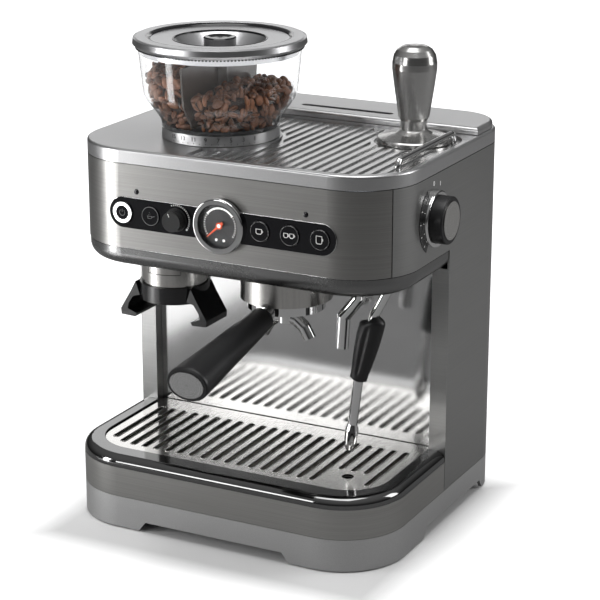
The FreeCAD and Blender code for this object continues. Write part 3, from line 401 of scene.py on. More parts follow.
FOOT_RUBBER = Moulded("foot_rubber", (0.018, 0.018, 0.018), rough=0.7, cells=1400, depth=2e-5)
GASKET_RUBBER = Moulded("gasket_rubber", (0.016, 0.016, 0.017), rough=0.55)
TANK_PLASTIC = Clear("tank_plastic", (0.55, 0.57, 0.60), rough=0.12, ior=1.49)
HOPPER_CLEAR = Clear("hopper_clear", (0.95, 0.955, 0.96), ior=1.3)
LENS_CLEAR = Clear("lens_clear", (0.99, 0.99, 0.99), ior=1.12)
FLOAT_PLASTIC = Moulded("float_plastic", (0.008, 0.008, 0.008), rough=0.85, specular=0.1)
GAUGE_BLACK = Moulded("gauge_black", (0.012, 0.012, 0.013), rough=0.35)
NEEDLE_RED = Moulded("needle_red", (0.75, 0.10, 0.03), rough=0.35, depth=0)
# White print with a faint glow of painted light, though print is no lamp.
GLOWING_PRINT_WHITE = Lamp("glowing_print_white", (0.92, 0.92, 0.90), strength=0.35)
PRINT_GREY = Moulded("print_grey", (0.24, 0.24, 0.24), rough=0.5, depth=0)
PRINT_DARK = Moulded("print_dark", (0.008, 0.008, 0.008), rough=0.6, depth=0, specular=0.2)
SMOKED_WALL = Moulded("smoked_wall", (0.055, 0.041, 0.032), rough=0.30, coat=0.3)
GLOW_WHITE = Lamp("glow_white", (1.0, 1.0, 1.0), strength=2.2)
BEAN_ROAST = Roast("bean_roast", (0.29, 0.118, 0.055))
# A near-black core under the beans that stands in for the shade between them: painted shade.
BEAN_CORE_PAINTED_SHADE = Moulded("bean_core_painted_shade", (0.022, 0.011, 0.007), rough=0.7)


# ---- reading the frame -----------------------------------------------------------------------
@lru_cache(maxsize=None)
def node_box(node: str) -> tuple[Vector, Vector]:
    """A frame node's low and high corners, read once."""
    low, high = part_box(node)
    return Vector(low).freeze(), Vector(high).freeze()


def middle(node: str) -> Vector:
    """The middle of a frame node's box."""
    low, high = node_box(node)
    return (low + high) / 2


def front_of(node: str) -> float:
    """The Y of a frame node's foremost point."""
    return node_box(node)[0].y


# ---- making pieces ---------------------------------------------------------------------------
@dataclass
class Workshop:
    """Turns meshes into dressed pieces that ride on their bodies, and keeps count of them."""

    made: list[str] = field(default_factory=list)

    def keep(self, name: str, mesh: bpy.types.Mesh, finish: Finish, body: Body, slot: str,
             stands_for: Iterable[str] = ()) -> bpy.types.Object:
        """Makes one piece of a finished mesh.

        Args:
            name: the piece's name.
            mesh: its mesh, with its place in it.
            finish: what it is dressed in.
            body: the body it rides on.
            slot: the record's material slot; not used.
            stands_for: frame nodes that it takes the place of.

        Returns:
            The piece's object, at the origin.
        """
        mesh.name = name
        mesh.materials.clear()
        mesh.materials.append(finish.material())
        piece = bpy.data.objects.new(name, mesh)
        bpy.context.scene.collection.objects.link(piece)
        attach(piece, body.value)
        nodes = list(stands_for)
        if nodes:
            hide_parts(*nodes)
        self.made.append(name)
        LOG.info("%s: %d faces on %s", name, len(mesh.polygons), body.value)
        return piece

    @staticmethod
    def dress(looks: dict[str, Finish]) -> None:
        """Gives frame nodes their finishes."""
        for node, finish in looks.items():
            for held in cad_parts[node].material_slots:
                held.material = finish.material()


def sealed(shape: bmesh.types.BMesh, smooth_below: float = 40.0) -> bpy.types.Mesh:
    """Merges a shape's doubles, turns its faces outward and smooths its gentle edges."""
    bmesh.ops.remove_doubles(shape, verts=shape.verts, dist=1e-6)
    bmesh.ops.dissolve_degenerate(shape, edges=shape.edges, dist=1e-7)
    bmesh.ops.recalc_face_normals(shape, faces=shape.faces)
    for face in shape.faces:
        face.smooth = True
    limit = math.radians(smooth_below)
    for edge in shape.edges:
        edge.smooth = len(edge.link_faces) == 2 and edge.calc_face_angle(0.0) < limit
    mesh = bpy.data.meshes.new("shape")
    shape.to_mesh(mesh)
    shape.free()
    return mesh


def bridge(shape: bmesh.types.BMesh, one: Sequence[bmesh.types.BMVert],
           two: Sequence[bmesh.types.BMVert]) -> None:
    """Joins two rings of equally many points by a band of faces."""
    for j in range(len(one)):
        k = (j + 1) % len(one)
        shape.faces.new((one[j], one[k], two[k], two[j]))


def turned(profile: Profile, centre: Vector, facing: Facing, steps: int = 96, start: float = 0.0,
           sweep: float = FULL_TURN) -> bpy.types.Mesh:
    """Turns a closed profile round an axis, all the way or over a part of it.

    Args:
        profile: radius and height pairs of a closed outline.
        centre: where the axis meets height 0.
        facing: the side that the axis points to.
        steps: divisions round the turn.
        start: the first angle, from the facing's right towards its up.
        sweep: how far the profile turns.

    Returns:
        A closed mesh.
    """
    whole = abs(sweep - FULL_TURN) < 1e-6
    shape = bmesh.new()
    rings = []
    for i in range(steps if whole else steps + 1):
        angle = start + sweep * i / steps
        rings.append([shape.verts.new(facing.place(centre, r * math.cos(angle), r * math.sin(angle), h))
                      for r, h in profile])
    for one, two in list(zip(rings, rings[1:])) + ([(rings[-1], rings[0])] if whole else []):
        bridge(shape, one, two)
    if not whole:
        shape.faces.new(rings[0])
        shape.faces.new(rings[-1][::-1])
    return sealed(shape)


def drawn(paths: Iterable[tuple[Sequence[Vector], bool]], radius: float, sides: int = 2) -> bpy.types.Mesh:
    """Draws round lines along paths.

    Args:
        paths: each path's points and whether it closes.
        radius: the line's radius.
        sides: the bevel's resolution.

    Returns:
        One mesh with every line.
    """
    curve = bpy.data.curves.new("lines", "CURVE")
    curve.dimensions = "3D"
    curve.bevel_depth = radius
    curve.bevel_resolution = sides
    curve.use_fill_caps = True
    for points, closes in paths:
        line = curve.splines.new("POLY")
        line.points.add(len(points) - 1)
        for point, place in zip(line.points, points):
            point.co = (*place, 1.0)
        line.use_cyclic_u = closes
    holder = bpy.data.objects.new("lines", curve)
    mesh = bpy.data.meshes.new_from_object(holder)
    bpy.data.objects.remove(holder)
    for polygon in mesh.polygons:
        polygon.use_smooth = True
    return mesh


def arc_points(centre: Vector, facing: Facing, radius: float, start: float, sweep: float,
               steps: int = 32, out: float = 0.0) -> list[Vector]:
    """Points along an arc on a side, with angles from its right towards its up."""
    angles = (start + sweep * i / steps for i in range(steps + 1))
    return [facing.place(centre, radius * math.cos(a), radius * math.sin(a), out) for a in angles]


def joined(meshes: Sequence[bpy.types.Mesh]) -> bpy.types.Mesh:
    """One mesh that holds several."""
    shape = bmesh.new()
    for mesh in meshes:
        shape.from_mesh(mesh)
    whole = bpy.data.meshes.new("joined")
    shape.to_mesh(whole)
    shape.free()
    for polygon in whole.polygons:
        polygon.use_smooth = True
    return whole


def numeral(text: str, height: float, thickness: float) -> bpy.types.Mesh:
    """A number as a thin solid in the XY plane, centred on the origin."""
    curve = bpy.data.curves.new("numeral", "FONT")
    curve.body = text
    curve.size = height
    curve.align_x = "CENTER"
    curve.align_y = "CENTER"
    curve.extrude = thickness / 2
    holder = bpy.data.objects.new("numeral", curve)
    mesh = bpy.data.meshes.new_from_object(holder)
    bpy.data.objects.remove(holder)
    return mesh


class GeometrySheet(NodeSheet):
    """A Geometry Nodes tree with named inputs, whose result is kept as a plain mesh."""

    def __init__(self, name: str, sizes: dict[str, float | int | Vector]) -> None:
        """Makes the tree's named inputs; their kind follows the value that each will be given."""
        tree = bpy.data.node_groups.new(name, "GeometryNodeTree")
        super().__init__(tree)
        self.sizes = sizes
        self.sockets = {}
        tree.interface.new_socket(name="Geometry", in_out="OUTPUT", socket_type="NodeSocketGeometry")
        kinds = {int: "NodeSocketInt", float: "NodeSocketFloat", Vector: "NodeSocketVector"}
        for label, value in sizes.items():
            made = tree.interface.new_socket(name=label, in_out="INPUT", socket_type=kinds[type(value)])
            self.sockets[label] = made.identifier
        self.entry = self.node("NodeGroupInput")

    def size(self, label: str) -> Wire:
        """The named input as a wire."""
        return Wire(self, self.entry.outputs[label])

    def entrance(self, label: str) -> Wire:
        """Adds the incoming geometry as the tree's first input, and returns it as a wire."""
        items = self.tree.interface
        items.new_socket(name=label, in_out="INPUT", socket_type="NodeSocketGeometry")
        items.move(items.items_tree[label], 0)
        return Wire(self, self.entry.outputs[label])

    def place(self) -> tuple[Wire, ...]:
        """Each point's X, Y and Z."""
        return self.parts(self.wire("GeometryNodeInputPosition"))

    def close(self, geometry: Wire, finish: Finish) -> None:
        """Ends the tree in Realize Instances and Set Material."""
        real = self.wire("GeometryNodeRealizeInstances", inputs={0: geometry})
        dressed = self.wire("GeometryNodeSetMaterial", inputs={
            "Geometry": real, "Material": finish.material()})
        self.node("NodeGroupOutput", inputs={0: dressed})

    def bake(self, base: bpy.types.Mesh | None = None) -> bpy.types.Mesh:
        """Runs the tree on a mesh, or on nothing, and returns the result as a plain mesh."""
        holder = bpy.data.objects.new("holder", base or bpy.data.meshes.new("empty"))
        bpy.context.scene.collection.objects.link(holder)
        modifier = holder.modifiers.new("tree", "NODES")
        modifier.node_group = self.tree
        for label, value in self.sizes.items():
            modifier[self.sockets[label]] = tuple(value) if isinstance(value, Vector) else value
        graph = bpy.context.evaluated_depsgraph_get()
        mesh = bpy.data.meshes.new_from_object(holder.evaluated_get(graph), preserve_all_data_layers=True,
                                               depsgraph=graph)
        holder.modifiers.remove(modifier)
        bpy.data.objects.remove(holder)
        return mesh


def tick_ring(count: int, radius: float, start: float, sweep: float, tick: Vector, finish: Finish,
              centre: Vector, facing: Facing) -> bpy.types.Mesh:
    """Small bars set round an arc, each turned to point at the centre.

    Args:
        count: how many bars.
        radius: from the centre to each bar's middle.
        start: the first bar's angle.
        sweep: the angle from the first bar to the last.
        tick: a bar's size along the radius, across it and outward.
        finish: what the bars are dressed in.
        centre: the arc's centre.
        facing: the side that the bars lie on.

    Returns:
        One mesh with every bar in place.
    """
    sheet = GeometrySheet("tick_ring", {"Count": count, "Radius": radius, "Start": start, "Sweep": sweep,
                                        "Tick": tick})
    line = sheet.wire("GeometryNodeMeshLine", inputs={"Count": sheet.size("Count")})
    index = sheet.wire("GeometryNodeInputIndex")
    angle = sheet.size("Start") + sheet.size("Sweep") * index / (sheet.size("Count") - 1.0)
    reach = sheet.size("Radius")
    spot = sheet.vector(sheet.math("COSINE", angle) * reach, sheet.math("SINE", angle) * reach, 0.0)
    placed = sheet.wire("GeometryNodeSetPosition", inputs={"Geometry": line, "Position": spot})
    bar = sheet.wire("GeometryNodeMeshCube", inputs={"Size": sheet.size("Tick")})
    bars = sheet.wire("GeometryNodeInstanceOnPoints", inputs={
        "Points": placed, "Instance": bar, "Rotation": sheet.vector(0.0, 0.0, angle)})
    sheet.close(bars, finish)
    mesh = sheet.bake()
    mesh.transform(Matrix.Translation(centre) @ facing.turn().to_4x4())
    return mesh


@dataclass
class Assembly:
    """A sub-assembly: it dresses the frame's nodes and builds what the frame leaves out."""

    shop: Workshop

    def dress(self) -> None:
        """Gives the sub-assembly's nodes their finishes."""
        raise NotImplementedError

    def build(self) -> None:
        """Builds nothing, where every shape comes from the frame."""


# ---- case ------------------------------------------------------------------------------------
@dataclass
class Casework(Assembly):
    """Base, side sheets, head, top frame, cup tray and splash panel."""

    lamp_radius: float = 2.2 * MM
    lamp_height: float = 278.7 * MM
    lamp_places: tuple[float, float] = (-82.4 * MM, 65.7 * MM)
    head_corner: float = 52 * MM
    bead_corner: float = 51 * MM
    bead_radius: float = 0.32 * MM
    bead_end_gap: float = 0.5 * MM
    bead_steps: int = 16

    def dress(self) -> None:
        """Gives the case's nodes their finishes."""
        self.shop.dress({
            "base_ring": RING_PLASTIC, "rubber_feet": FOOT_RUBBER, "side_panel_left": PANEL_STEEL,
            "side_panel_right": PANEL_STEEL, "rear_panel": REAR_STEEL, "case_screws": SCREW_STEEL,
            "cord_inlet": BLACK_PLASTIC, "splash_panel": SPLASH_STEEL, "head_underside": TRIM_PLASTIC,
            "fascia": FASCIA_STEEL, "top_frame": SATIN_SILVER, "cup_tray": CUP_STEEL, "cup_rail": CHROME,
            "thermoblock": CAST_ALLOY, "pump": MOTOR_STEEL})

    def build(self) -> None:
        """Makes the two signal windows and the bright trim under the fascia."""
        self.signal_windows()
        self.fascia_trim()

    def signal_windows(self) -> None:
        """Two small domed black windows above the control strip."""
        front = front_of("fascia")
        r = self.lamp_radius
        profile = [(0.0, -0.3 * MM), (r, -0.3 * MM), (r, 0.1 * MM), (0.8 * r, 0.35 * MM), (0.0, 0.45 * MM)]
        domes = [turned(profile, Vector((x, front, self.lamp_height)), Facing.FRONT, steps=32)
                 for x in self.lamp_places]
        self.shop.keep("signal_windows", joined(domes), GLOSS_BLACK, Body.MACHINE, "gloss_black")

    def fascia_trim(self) -> None:
        """A thin polished bead in the joint between the fascia and the dark underside."""
        low, high = node_box("fascia")
        under_low, under_high = node_box("head_underside")
        ends = (low.x + self.bead_end_gap, high.x - self.bead_end_gap)
        centres = (under_low.x + self.head_corner, under_high.x - self.head_corner)
        centre_y = low.y + self.head_corner
        z = (under_high.z + low.z) / 2
        sweep = math.acos(1 - (high.y - low.y) / self.bead_corner)
        left = []
        for i in range(self.bead_steps, -1, -1):
            angle = sweep * i / self.bead_steps
            left.append(Vector((centres[0] - self.bead_corner * math.sin(angle),
                                centre_y - self.bead_corner * math.cos(angle), z)))
        right = [Vector((sum(centres) - p.x, p.y, z)) for p in reversed(left)]
        points = [p for p in left + right if ends[0] <= p.x <= ends[1]]
        bead = drawn([(points, False)], self.bead_radius)
        self.shop.keep("fascia_trim", bead, CHROME, Body.MACHINE, "chrome")


# ---- control strip ---------------------------------------------------------------------------
@dataclass
class Controls(Assembly):
    """Gloss-black strip with its buttons, dose dial and pressure gauge."""

    print_height: float = 0.12 * MM
    line_radius: float = 0.27 * MM
    rim_radius: float = 0.38 * MM
    rim_inset: float = 0.1 * MM
    strip_half: float = 12.2 * MM
    gauge_clear: float = 20.5 * MM
    glow_rim: tuple[float, float] = (5.7 * MM, 8.3 * MM)
    glow_edge: float = 0.25 * MM
    button_ring_inset: float = 0.7 * MM
    button_ring_radius: float = 0.3 * MM
    dose_reach: float = 11.4 * MM
    dose_start: float = math.radians(112)
    dose_sweep: float = math.radians(-140)
    dose_tick_count: int = 17
    gauge_arc_radius: float = 13.6 * MM
    tick_size: Vector = field(default_factory=lambda: Vector((1.3, 0.42, 0.2)) * MM)

    def dress(self) -> None:
        """Gives the strip's nodes their finishes."""
        blacks = ("control_strip", "power_button", "grind_button", "brew_button_1", "brew_button_2",
                  "brew_button_3")
        self.shop.dress({name: GLOSS_BLACK for name in blacks})
        self.shop.dress({"grind_dial": KNOB_BLACK, "gauge_bezel": CHROME, "gauge_face": GAUGE_BLACK,
                         "gauge_lens": LENS_CLEAR, "gauge_needle": NEEDLE_RED})

    def build(self) -> None:
        """Makes the strip's rim, the glow, the marks and the gauge's print."""
        self.strip_rim()
        self.power_glow()
        self.button_marks()
        self.dose_ticks()
        self.gauge_print()

    def strip_rim(self) -> None:
        """A thin bright bead round the strip's pill outline."""
        low, high = node_box("control_strip")
        radius = self.strip_half
        ends = (low.x + radius, high.x - radius)
        y = front_of("fascia") - self.rim_inset
        z = middle("power_button").z
        gauge = middle("gauge_bezel")
        paths = []
        for side, end_x in ((-1, ends[0]), (1, ends[1])):
            start = math.pi / 2 if side < 0 else -math.pi / 2
            arc = arc_points(Vector((end_x, y, z)), Facing.FRONT, radius, start, math.pi)
            near = gauge.x + side * math.sqrt(self.gauge_clear ** 2 - radius ** 2)
            first = Vector((near, y, arc[0].z))
            last = Vector((near, y, arc[-1].z))
            paths.append(([first, *arc, last], False))
        self.shop.keep("strip_rim", drawn(paths, self.rim_radius), CHROME, Body.MACHINE, "chrome")

    def power_glow(self) -> None:
        """The lit ring round the power button's symbol."""
        centre = self.face("power_button")
        inner, outer = self.glow_rim
        edge = self.glow_edge
        profile = [(inner, -0.2 * MM), (outer, -0.2 * MM), (outer, 0.1 * MM), (outer - edge, edge),
                   (inner + edge, edge), (inner, 0.1 * MM)]
        ring = turned(profile, centre, Facing.FRONT)
        self.shop.keep("power_glow", ring, GLOW_WHITE, Body.POWER, "gloss_black")

    def button_marks(self) -> None:
        """Line symbols on the buttons: a power sign, a filter holder and three kinds of cup."""
        marks = [(self.power_sign(), "power_sign", Body.POWER, PRINT_GREY),
                 (self.holder_sign(), "grind_sign", Body.GRIND, PRINT_GREY)]
        cups = (("brew_sign_1", Body.BREW_1, 1, 3.8), ("brew_sign_2", Body.BREW_2, 2, 3.4),
                ("brew_sign_3", Body.BREW_3, 1, 6.0))
        for name, body, count, height in cups:
            marks.append((self.cup_sign(body.value, count, height * MM), name, body, GLOWING_PRINT_WHITE))
        for paths, name, body, finish in marks:
            self.shop.keep(name, drawn(paths, self.line_radius, 1), finish, body, "gloss_black")
        for body in (Body.GRIND, Body.BREW_1, Body.BREW_2, Body.BREW_3):
            centre = self.face(body.value)
            low, high = node_box(body.value)
            reach = (high.x - low.x) / 2 - self.button_ring_inset
            ring = [(arc_points(centre, Facing.FRONT, reach, 0, FULL_TURN, 72)[:-1], True)]
            # The brew buttons' rings are thin grey metal lines that stand in for the sheen round their rims, a
            # painted sheen.
            finish = PRINT_GREY if body is Body.GRIND else TRIM_PLASTIC
            self.shop.keep(body.value + "_ring", drawn(ring, self.button_ring_radius, 1), finish, body,
                           "gloss_black")

    @staticmethod
    def face(node: str) -> Vector:
        """The middle of a button's or a knob's face."""
        centre = middle(node)
        centre.y = front_of(node)
        return centre

    def power_sign(self) -> list[tuple[list[Vector], bool]]:
        """An open ring with an upright bar in its gap."""
        centre = self.face("power_button")
        gap = math.radians(35)
        ring = arc_points(centre, Facing.FRONT, 2.4 * MM, math.pi / 2 + gap, FULL_TURN - 2 * gap)
        bar = [Facing.FRONT.place(centre, 0, h * MM) for h in (0.4, 3.0)]
        return [(ring, False), (bar, False)]

    def holder_sign(self) -> list[tuple[list[Vector], bool]]:
        """A filter holder from the side with three falling dots above it."""
        centre = self.face("grind_button")

        def at(across: float, up: float) -> Vector:
            """A point on the button's face, in millimetres from its middle."""
            return Facing.FRONT.place(centre, across * MM, up * MM)

        bowl = [at(-2.4, 0), at(-2.0, -1.8), at(1.0, -1.8), at(1.4, 0), at(-2.4, 0)]
        handle = [at(1.4, -0.6), at(4.0, 0.2)]
        drops = [([at(x, y), at(x, y + 0.35)], False) for x, y in ((-1.2, 1.2), (0.0, 1.6), (-0.6, 2.8))]
        return [(bowl, False), (handle, False), *drops]

    def cup_sign(self, node: str, count: int, height: float) -> list[tuple[list[Vector], bool]]:
        """One or two cups side by side, each with a bowl line and a handle."""
        centre = self.face(node)
        half = (2.4 if count == 1 else 1.7) * MM
        paths = []
        for i in range(count):
            shift = (i - (count - 1) / 2) * 5.0 * MM - 0.5 * MM
            corner = 0.9 * MM
            bowl = [(-half, height / 2), (-half, corner - height / 2), (corner - half, -height / 2),
                    (half - corner, -height / 2), (half, corner - height / 2), (half, height / 2)]
            paths.append(([Facing.FRONT.place(centre, shift + x, z) for x, z in bowl], True))
            ear = Facing.FRONT.place(centre, shift + half, 0.2 * MM)
            paths.append((arc_points(ear, Facing.FRONT, 0.9 * MM, -math.pi / 2, math.pi, 8), False))
        return paths

    def dose_ticks(self) -> None:
        """Fine white ticks round the dose dial, with a small filled end mark."""
        centre = middle("grind_dial")
        centre.y = front_of("control_strip") - self.print_height
        start = self.dose_start
        fine = tick_ring(self.dose_tick_count, self.dose_reach, start, self.dose_sweep, self.tick_size,
                         GLOWING_PRINT_WHITE, centre, Facing.FRONT)
        end = arc_points(centre, Facing.FRONT, self.dose_reach, start + self.dose_sweep * 1.07, 0.01, 1)[0]
        dot = turned([(0, -0.1 * MM), (0.8 * MM, -0.1 * MM), (0.8 * MM, 0.1 * MM), (0, 0.12 * MM)], end,
                     Facing.FRONT, steps=16)
        self.shop.keep("dose_ticks", joined([fine, dot]), GLOWING_PRINT_WHITE, Body.MACHINE, "gloss_black")
        knob = self.face("grind_dial")
        pointer = [Facing.FRONT.place(knob, math.cos(start) * r, math.sin(start) * r)
                   for r in (4 * MM, 7 * MM)]
        self.shop.keep("dose_pointer", drawn([(pointer, False)], 0.3 * MM), GLOWING_PRINT_WHITE, Body.DOSE_DIAL,
                       "gloss_black")

    def gauge_print(self) -> None:
        """The gauge's white band, its ticks on both flanks and two small dots below."""
        centre = middle("gauge_face")
        centre.y = front_of("gauge_face") - self.print_height
        reach = self.gauge_arc_radius
        band_start = math.radians(38)
        band_sweep = math.radians(104)
        thick = 0.7 * MM
        profile = [(reach - thick, -0.08 * MM), (reach + thick, -0.08 * MM), (reach + thick, 0.08 * MM),
                   (reach - thick, 0.08 * MM)]
        parts = [turned(profile, centre, Facing.FRONT, 40, band_start, band_sweep)]
        size = Vector((1.5, 0.45, 0.16)) * MM
        for start, sweep in ((math.radians(150), math.radians(64)), (math.radians(30), math.radians(-64))):
            parts.append(tick_ring(9, reach, start, sweep, size, GLOWING_PRINT_WHITE, centre, Facing.FRONT))
        ends = tick_ring(2, reach, band_start, band_sweep, size * 1.6, GLOWING_PRINT_WHITE, centre, Facing.FRONT)
        parts.append(ends)
        dot = [(0, -0.1 * MM), (1.15 * MM, -0.1 * MM), (1.15 * MM, 0.08 * MM), (0, 0.08 * MM)]
        for across in (-3.3 * MM, 3.3 * MM):
            parts.append(turned(dot, Facing.FRONT.place(centre, across, -11.6 * MM), Facing.FRONT, 20))
        self.shop.keep("gauge_print", joined(parts), GLOWING_PRINT_WHITE, Body.MACHINE, "gauge_black")
        hub = middle("gauge_face")
        hub.y = front_of("gauge_needle") - 0.05 * MM
        profile = [(0, -0.3 * MM), (1.5 * MM, -0.3 * MM), (1.5 * MM, 0.1 * MM), (0.9 * MM, 0.3 * MM),
                   (0, 0.35 * MM)]
        cap = turned(profile, hub, Facing.FRONT, 24)
        self.shop.keep("needle_cap", cap, GLOWING_PRINT_WHITE, Body.MACHINE, "gauge_black")


# ---- grinder ---------------------------------------------------------------------------------
@dataclass
class Grinder(Assembly):
    """Clear hopper with its beans, lid, scale ring, outlet and portafilter cradle."""

    throat_radius: float = 47.2 * MM
    belly_radius: float = 61.6 * MM
    mouth_radius: float = 65.0 * MM
    shoulder: tuple[float, float] = (321.5 * MM, 349.0 * MM)
    wall: float = 2.0 * MM
    bean_gap: float = 5.2 * MM
    heap_foot: float = 324.5 * MM
    heap_levels: tuple[float, float] = (371.0 * MM, 357.5 * MM)
    heap_wave: float = 1.6 * MM
    wave_lengths: tuple[float, float] = (9 * MM, 11 * MM)
    heap_peak: float = 20 * MM
    heap_slope: float = 0.05
    chamber_middle: float = 21 * MM
    core_gap: float = 1.4 * MM
    bean_spacing: float = 4.9 * MM
    bean_size: Vector = field(default_factory=lambda: Vector((5.0, 3.5, 2.4)) * MM)
    belly_flatness: float = 0.45
    crease_half: float = 0.12
    crease_depth: float = 0.42
    seed: int = 7

    def dress(self) -> None:
        """Gives the grinder's nodes their finishes."""
        self.shop.dress({
            "hopper_ring": SATIN_SILVER, "hopper_lid": LID_SATIN, "hopper_lid_knob": GLOSS_BLACK,
            "burr_housing": BLACK_PLASTIC, "grinder_motor": MOTOR_STEEL, "upper_burr": BURR_STEEL,
            "lower_burr": BURR_STEEL, "outlet_cover": COVER_STEEL, "portafilter_cradle": BLACK_PLASTIC})

    def build(self) -> None:
        """Makes the bowl, its seal, the heap of beans, the inner walls, the numbers and the lid's ribs."""
        self.bowl()
        self.throat_seal()
        self.heap()
        self.inner_walls()
        self.scale()
        self.lid_ribs()
        self.lid_lines()
        self.label_frame()

    @property
    def axis(self) -> Vector:
        """The hopper's axis at the counter."""
        centre = middle("hopper_glass")
        return Vector((centre.x, centre.y, 0.0))

    def bowl_radius(self, z: float) -> float:
        """The bowl's outer radius at a height: a smooth shoulder, then a slight flare to the mouth."""
        low, high = self.shoulder
        top = node_box("hopper_glass")[1].z
        t = min(1.0, max(0.0, (z - low) / (high - low)))
        swell = (self.belly_radius - self.throat_radius) * t * t * (3 - 2 * t)
        flare = (self.mouth_radius - self.belly_radius) * max(0.0, (z - high) / (top - high))
        return self.throat_radius + swell + flare

    def bowl(self) -> None:
        """The clear bowl: a grid wrapped round the axis, up the outside and down the inside."""
        low, high = (corner.z for corner in node_box("hopper_glass"))
        steps = 40
        sheet = GeometrySheet("hopper_bowl", {
            "Around": 129, "Steps": steps, "Foot": low, "Height": high - low, "Throat": self.throat_radius,
            "Swell": self.belly_radius - self.throat_radius, "Flare": self.mouth_radius - self.belly_radius,
            "Shoulder low": self.shoulder[0], "Shoulder high": self.shoulder[1], "Wall": self.wall,
            "Axis": self.axis})
        rows = sheet.size("Steps") * 2.0 + 3.0
        grid = sheet.wire("GeometryNodeMeshGrid", inputs={
            "Size X": 1.0, "Size Y": 1.0, "Vertices X": sheet.size("Around"), "Vertices Y": rows})
        across, along, _ = sheet.place()
        around = (across + 0.5) * FULL_TURN
        row = sheet.math("ROUND", (along + 0.5) * (rows - 1.0))
        last = sheet.size("Steps") * 2.0 + 1.0
        climb = sheet.math("MINIMUM", row, last - row) / sheet.size("Steps")
        climb = sheet.math("MINIMUM", sheet.math("MAXIMUM", climb, 0.0), 1.0)
        inside = (sheet.math("GREATER_THAN", row, sheet.size("Steps") + 0.5)
                  * sheet.math("LESS_THAN", row, last + 0.5))
        z = sheet.size("Foot") + climb * sheet.size("Height")
        swell = sheet.wire("ShaderNodeMapRange", {"interpolation_type": "SMOOTHSTEP"}, {
            0: z, 1: sheet.size("Shoulder low"), 2: sheet.size("Shoulder high"), 3: 0.0, 4: 1.0})
        top = sheet.size("Foot") + sheet.size("Height")
        shoulder = sheet.size("Shoulder high")
        flare = sheet.math("MAXIMUM", z - shoulder, 0.0) / (top - shoulder)
        radius = (sheet.size("Throat") + swell * sheet.size("Swell") + flare * sheet.size("Flare")
                  - inside * sheet.size("Wall"))
        ring = sheet.vector(sheet.math("COSINE", around) * radius, sheet.math("SINE", around) * radius, z)
        placed = sheet.wire("ShaderNodeVectorMath", {"operation": "ADD"}, {0: ring, 1: sheet.size("Axis")})
        wrapped = sheet.wire("GeometryNodeSetPosition", inputs={"Geometry": grid, "Position": placed})
        closed = sheet.wire("GeometryNodeMergeByDistance", inputs={"Geometry": wrapped, "Distance": 1e-6})
        sheet.close(closed, HOPPER_CLEAR)
        shape = bmesh.new()
        shape.from_mesh(sheet.bake())
        self.shop.keep("hopper_bowl", sealed(shape), HOPPER_CLEAR, Body.HOPPER, "clear_glass",
                       ["hopper_glass"])

    def throat_seal(self) -> None:
        """The black seal between the bowl and the scale ring."""
        low = node_box("hopper_glass")[0].z
        r = self.throat_radius
        profile = [(r - 3.4 * MM, 0.05 * MM), (r - 2.1 * MM, 0.05 * MM), (r - 2.1 * MM, 3.2 * MM),
                   (r - 3.4 * MM, 2.6 * MM)]
        mesh = turned(profile, self.axis + Vector((0, 0, low)), Facing.TOP, 96)
        self.shop.keep("throat_seal", mesh, GASKET_RUBBER, Body.HOPPER, "gasket_rubber")

    def heap_top(self, side: int, x: float, y: float) -> float:
        """The height of the beans' surface over a point, measured from the hopper's axis."""
        level = self.heap_levels[0] if side < 0 else self.heap_levels[1]
        waves = math.sin(x / self.wave_lengths[0] + 0.6) * math.cos(y / self.wave_lengths[1] - 0.4)
        return level + self.heap_wave * waves - self.heap_slope * math.hypot(x - side * self.heap_peak, y)

    def inner_reach(self, start: Vector, way: Vector, side: int, z: float, gap: float) -> float:
        """How far a ray from inside one chamber runs before the bowl or the partition stops it."""
        limit = self.bowl_radius(z) - self.wall - gap
        along = start.x * way.x + start.y * way.y
        reach = -along + math.sqrt(max(0.0, along * along - start.length_squared + limit * limit))
        if side * way.x < -1e-6:
            reach = min(reach, (abs(start.x) - gap) / abs(way.x))
        return reach

    def heap_mesh(self, side: int, gap: float, around: int = 72) -> bpy.types.Mesh:
        """The envelope of one chamber's beans: up the walls, then in over the top.

        Args:
            side: -1 for the left chamber, 1 for the right one.
            gap: how far it lies inside the walls and under the heap's top.
            around: divisions round the chamber.

        Returns:
            A closed mesh.
        """
        start = Vector((side * self.chamber_middle, 0.0, 0.0))
        rises, inward = 9, 8
        shape = bmesh.new()
        rows = []
        for i in range(around):
            angle = FULL_TURN * i / around
            way = Vector((math.cos(angle), math.sin(angle), 0.0))
            z_rim = self.heap_levels[0]
            for _ in range(5):
                rim = start + way * self.inner_reach(start, way, side, z_rim, gap)
                z_rim = self.heap_top(side, rim.x, rim.y) - gap
            row = []
            for j in range(rises + 1):
                z = self.heap_foot + (z_rim - self.heap_foot) * j / rises
                row.append(start + way * self.inner_reach(start, way, side, z, gap) + Vector((0, 0, z)))
            for j in range(1, inward):
                spot = start + (rim - start) * (1 - j / inward)
                row.append(Vector((spot.x, spot.y, self.heap_top(side, spot.x, spot.y) - gap)))
            rows.append([shape.verts.new(self.axis + p) for p in row])
        top = shape.verts.new(self.axis + start + Vector((0, 0, self.heap_top(side, start.x, start.y) - gap)))
        foot = shape.verts.new(self.axis + start + Vector((0, 0, self.heap_foot)))
        for one, two in zip(rows, rows[1:] + rows[:1]):
            for j in range(len(one) - 1):
                shape.faces.new((one[j], two[j], two[j + 1], one[j + 1]))
            shape.faces.new((one[-1], two[-1], top))
            shape.faces.new((two[0], one[0], foot))
        return sealed(shape)

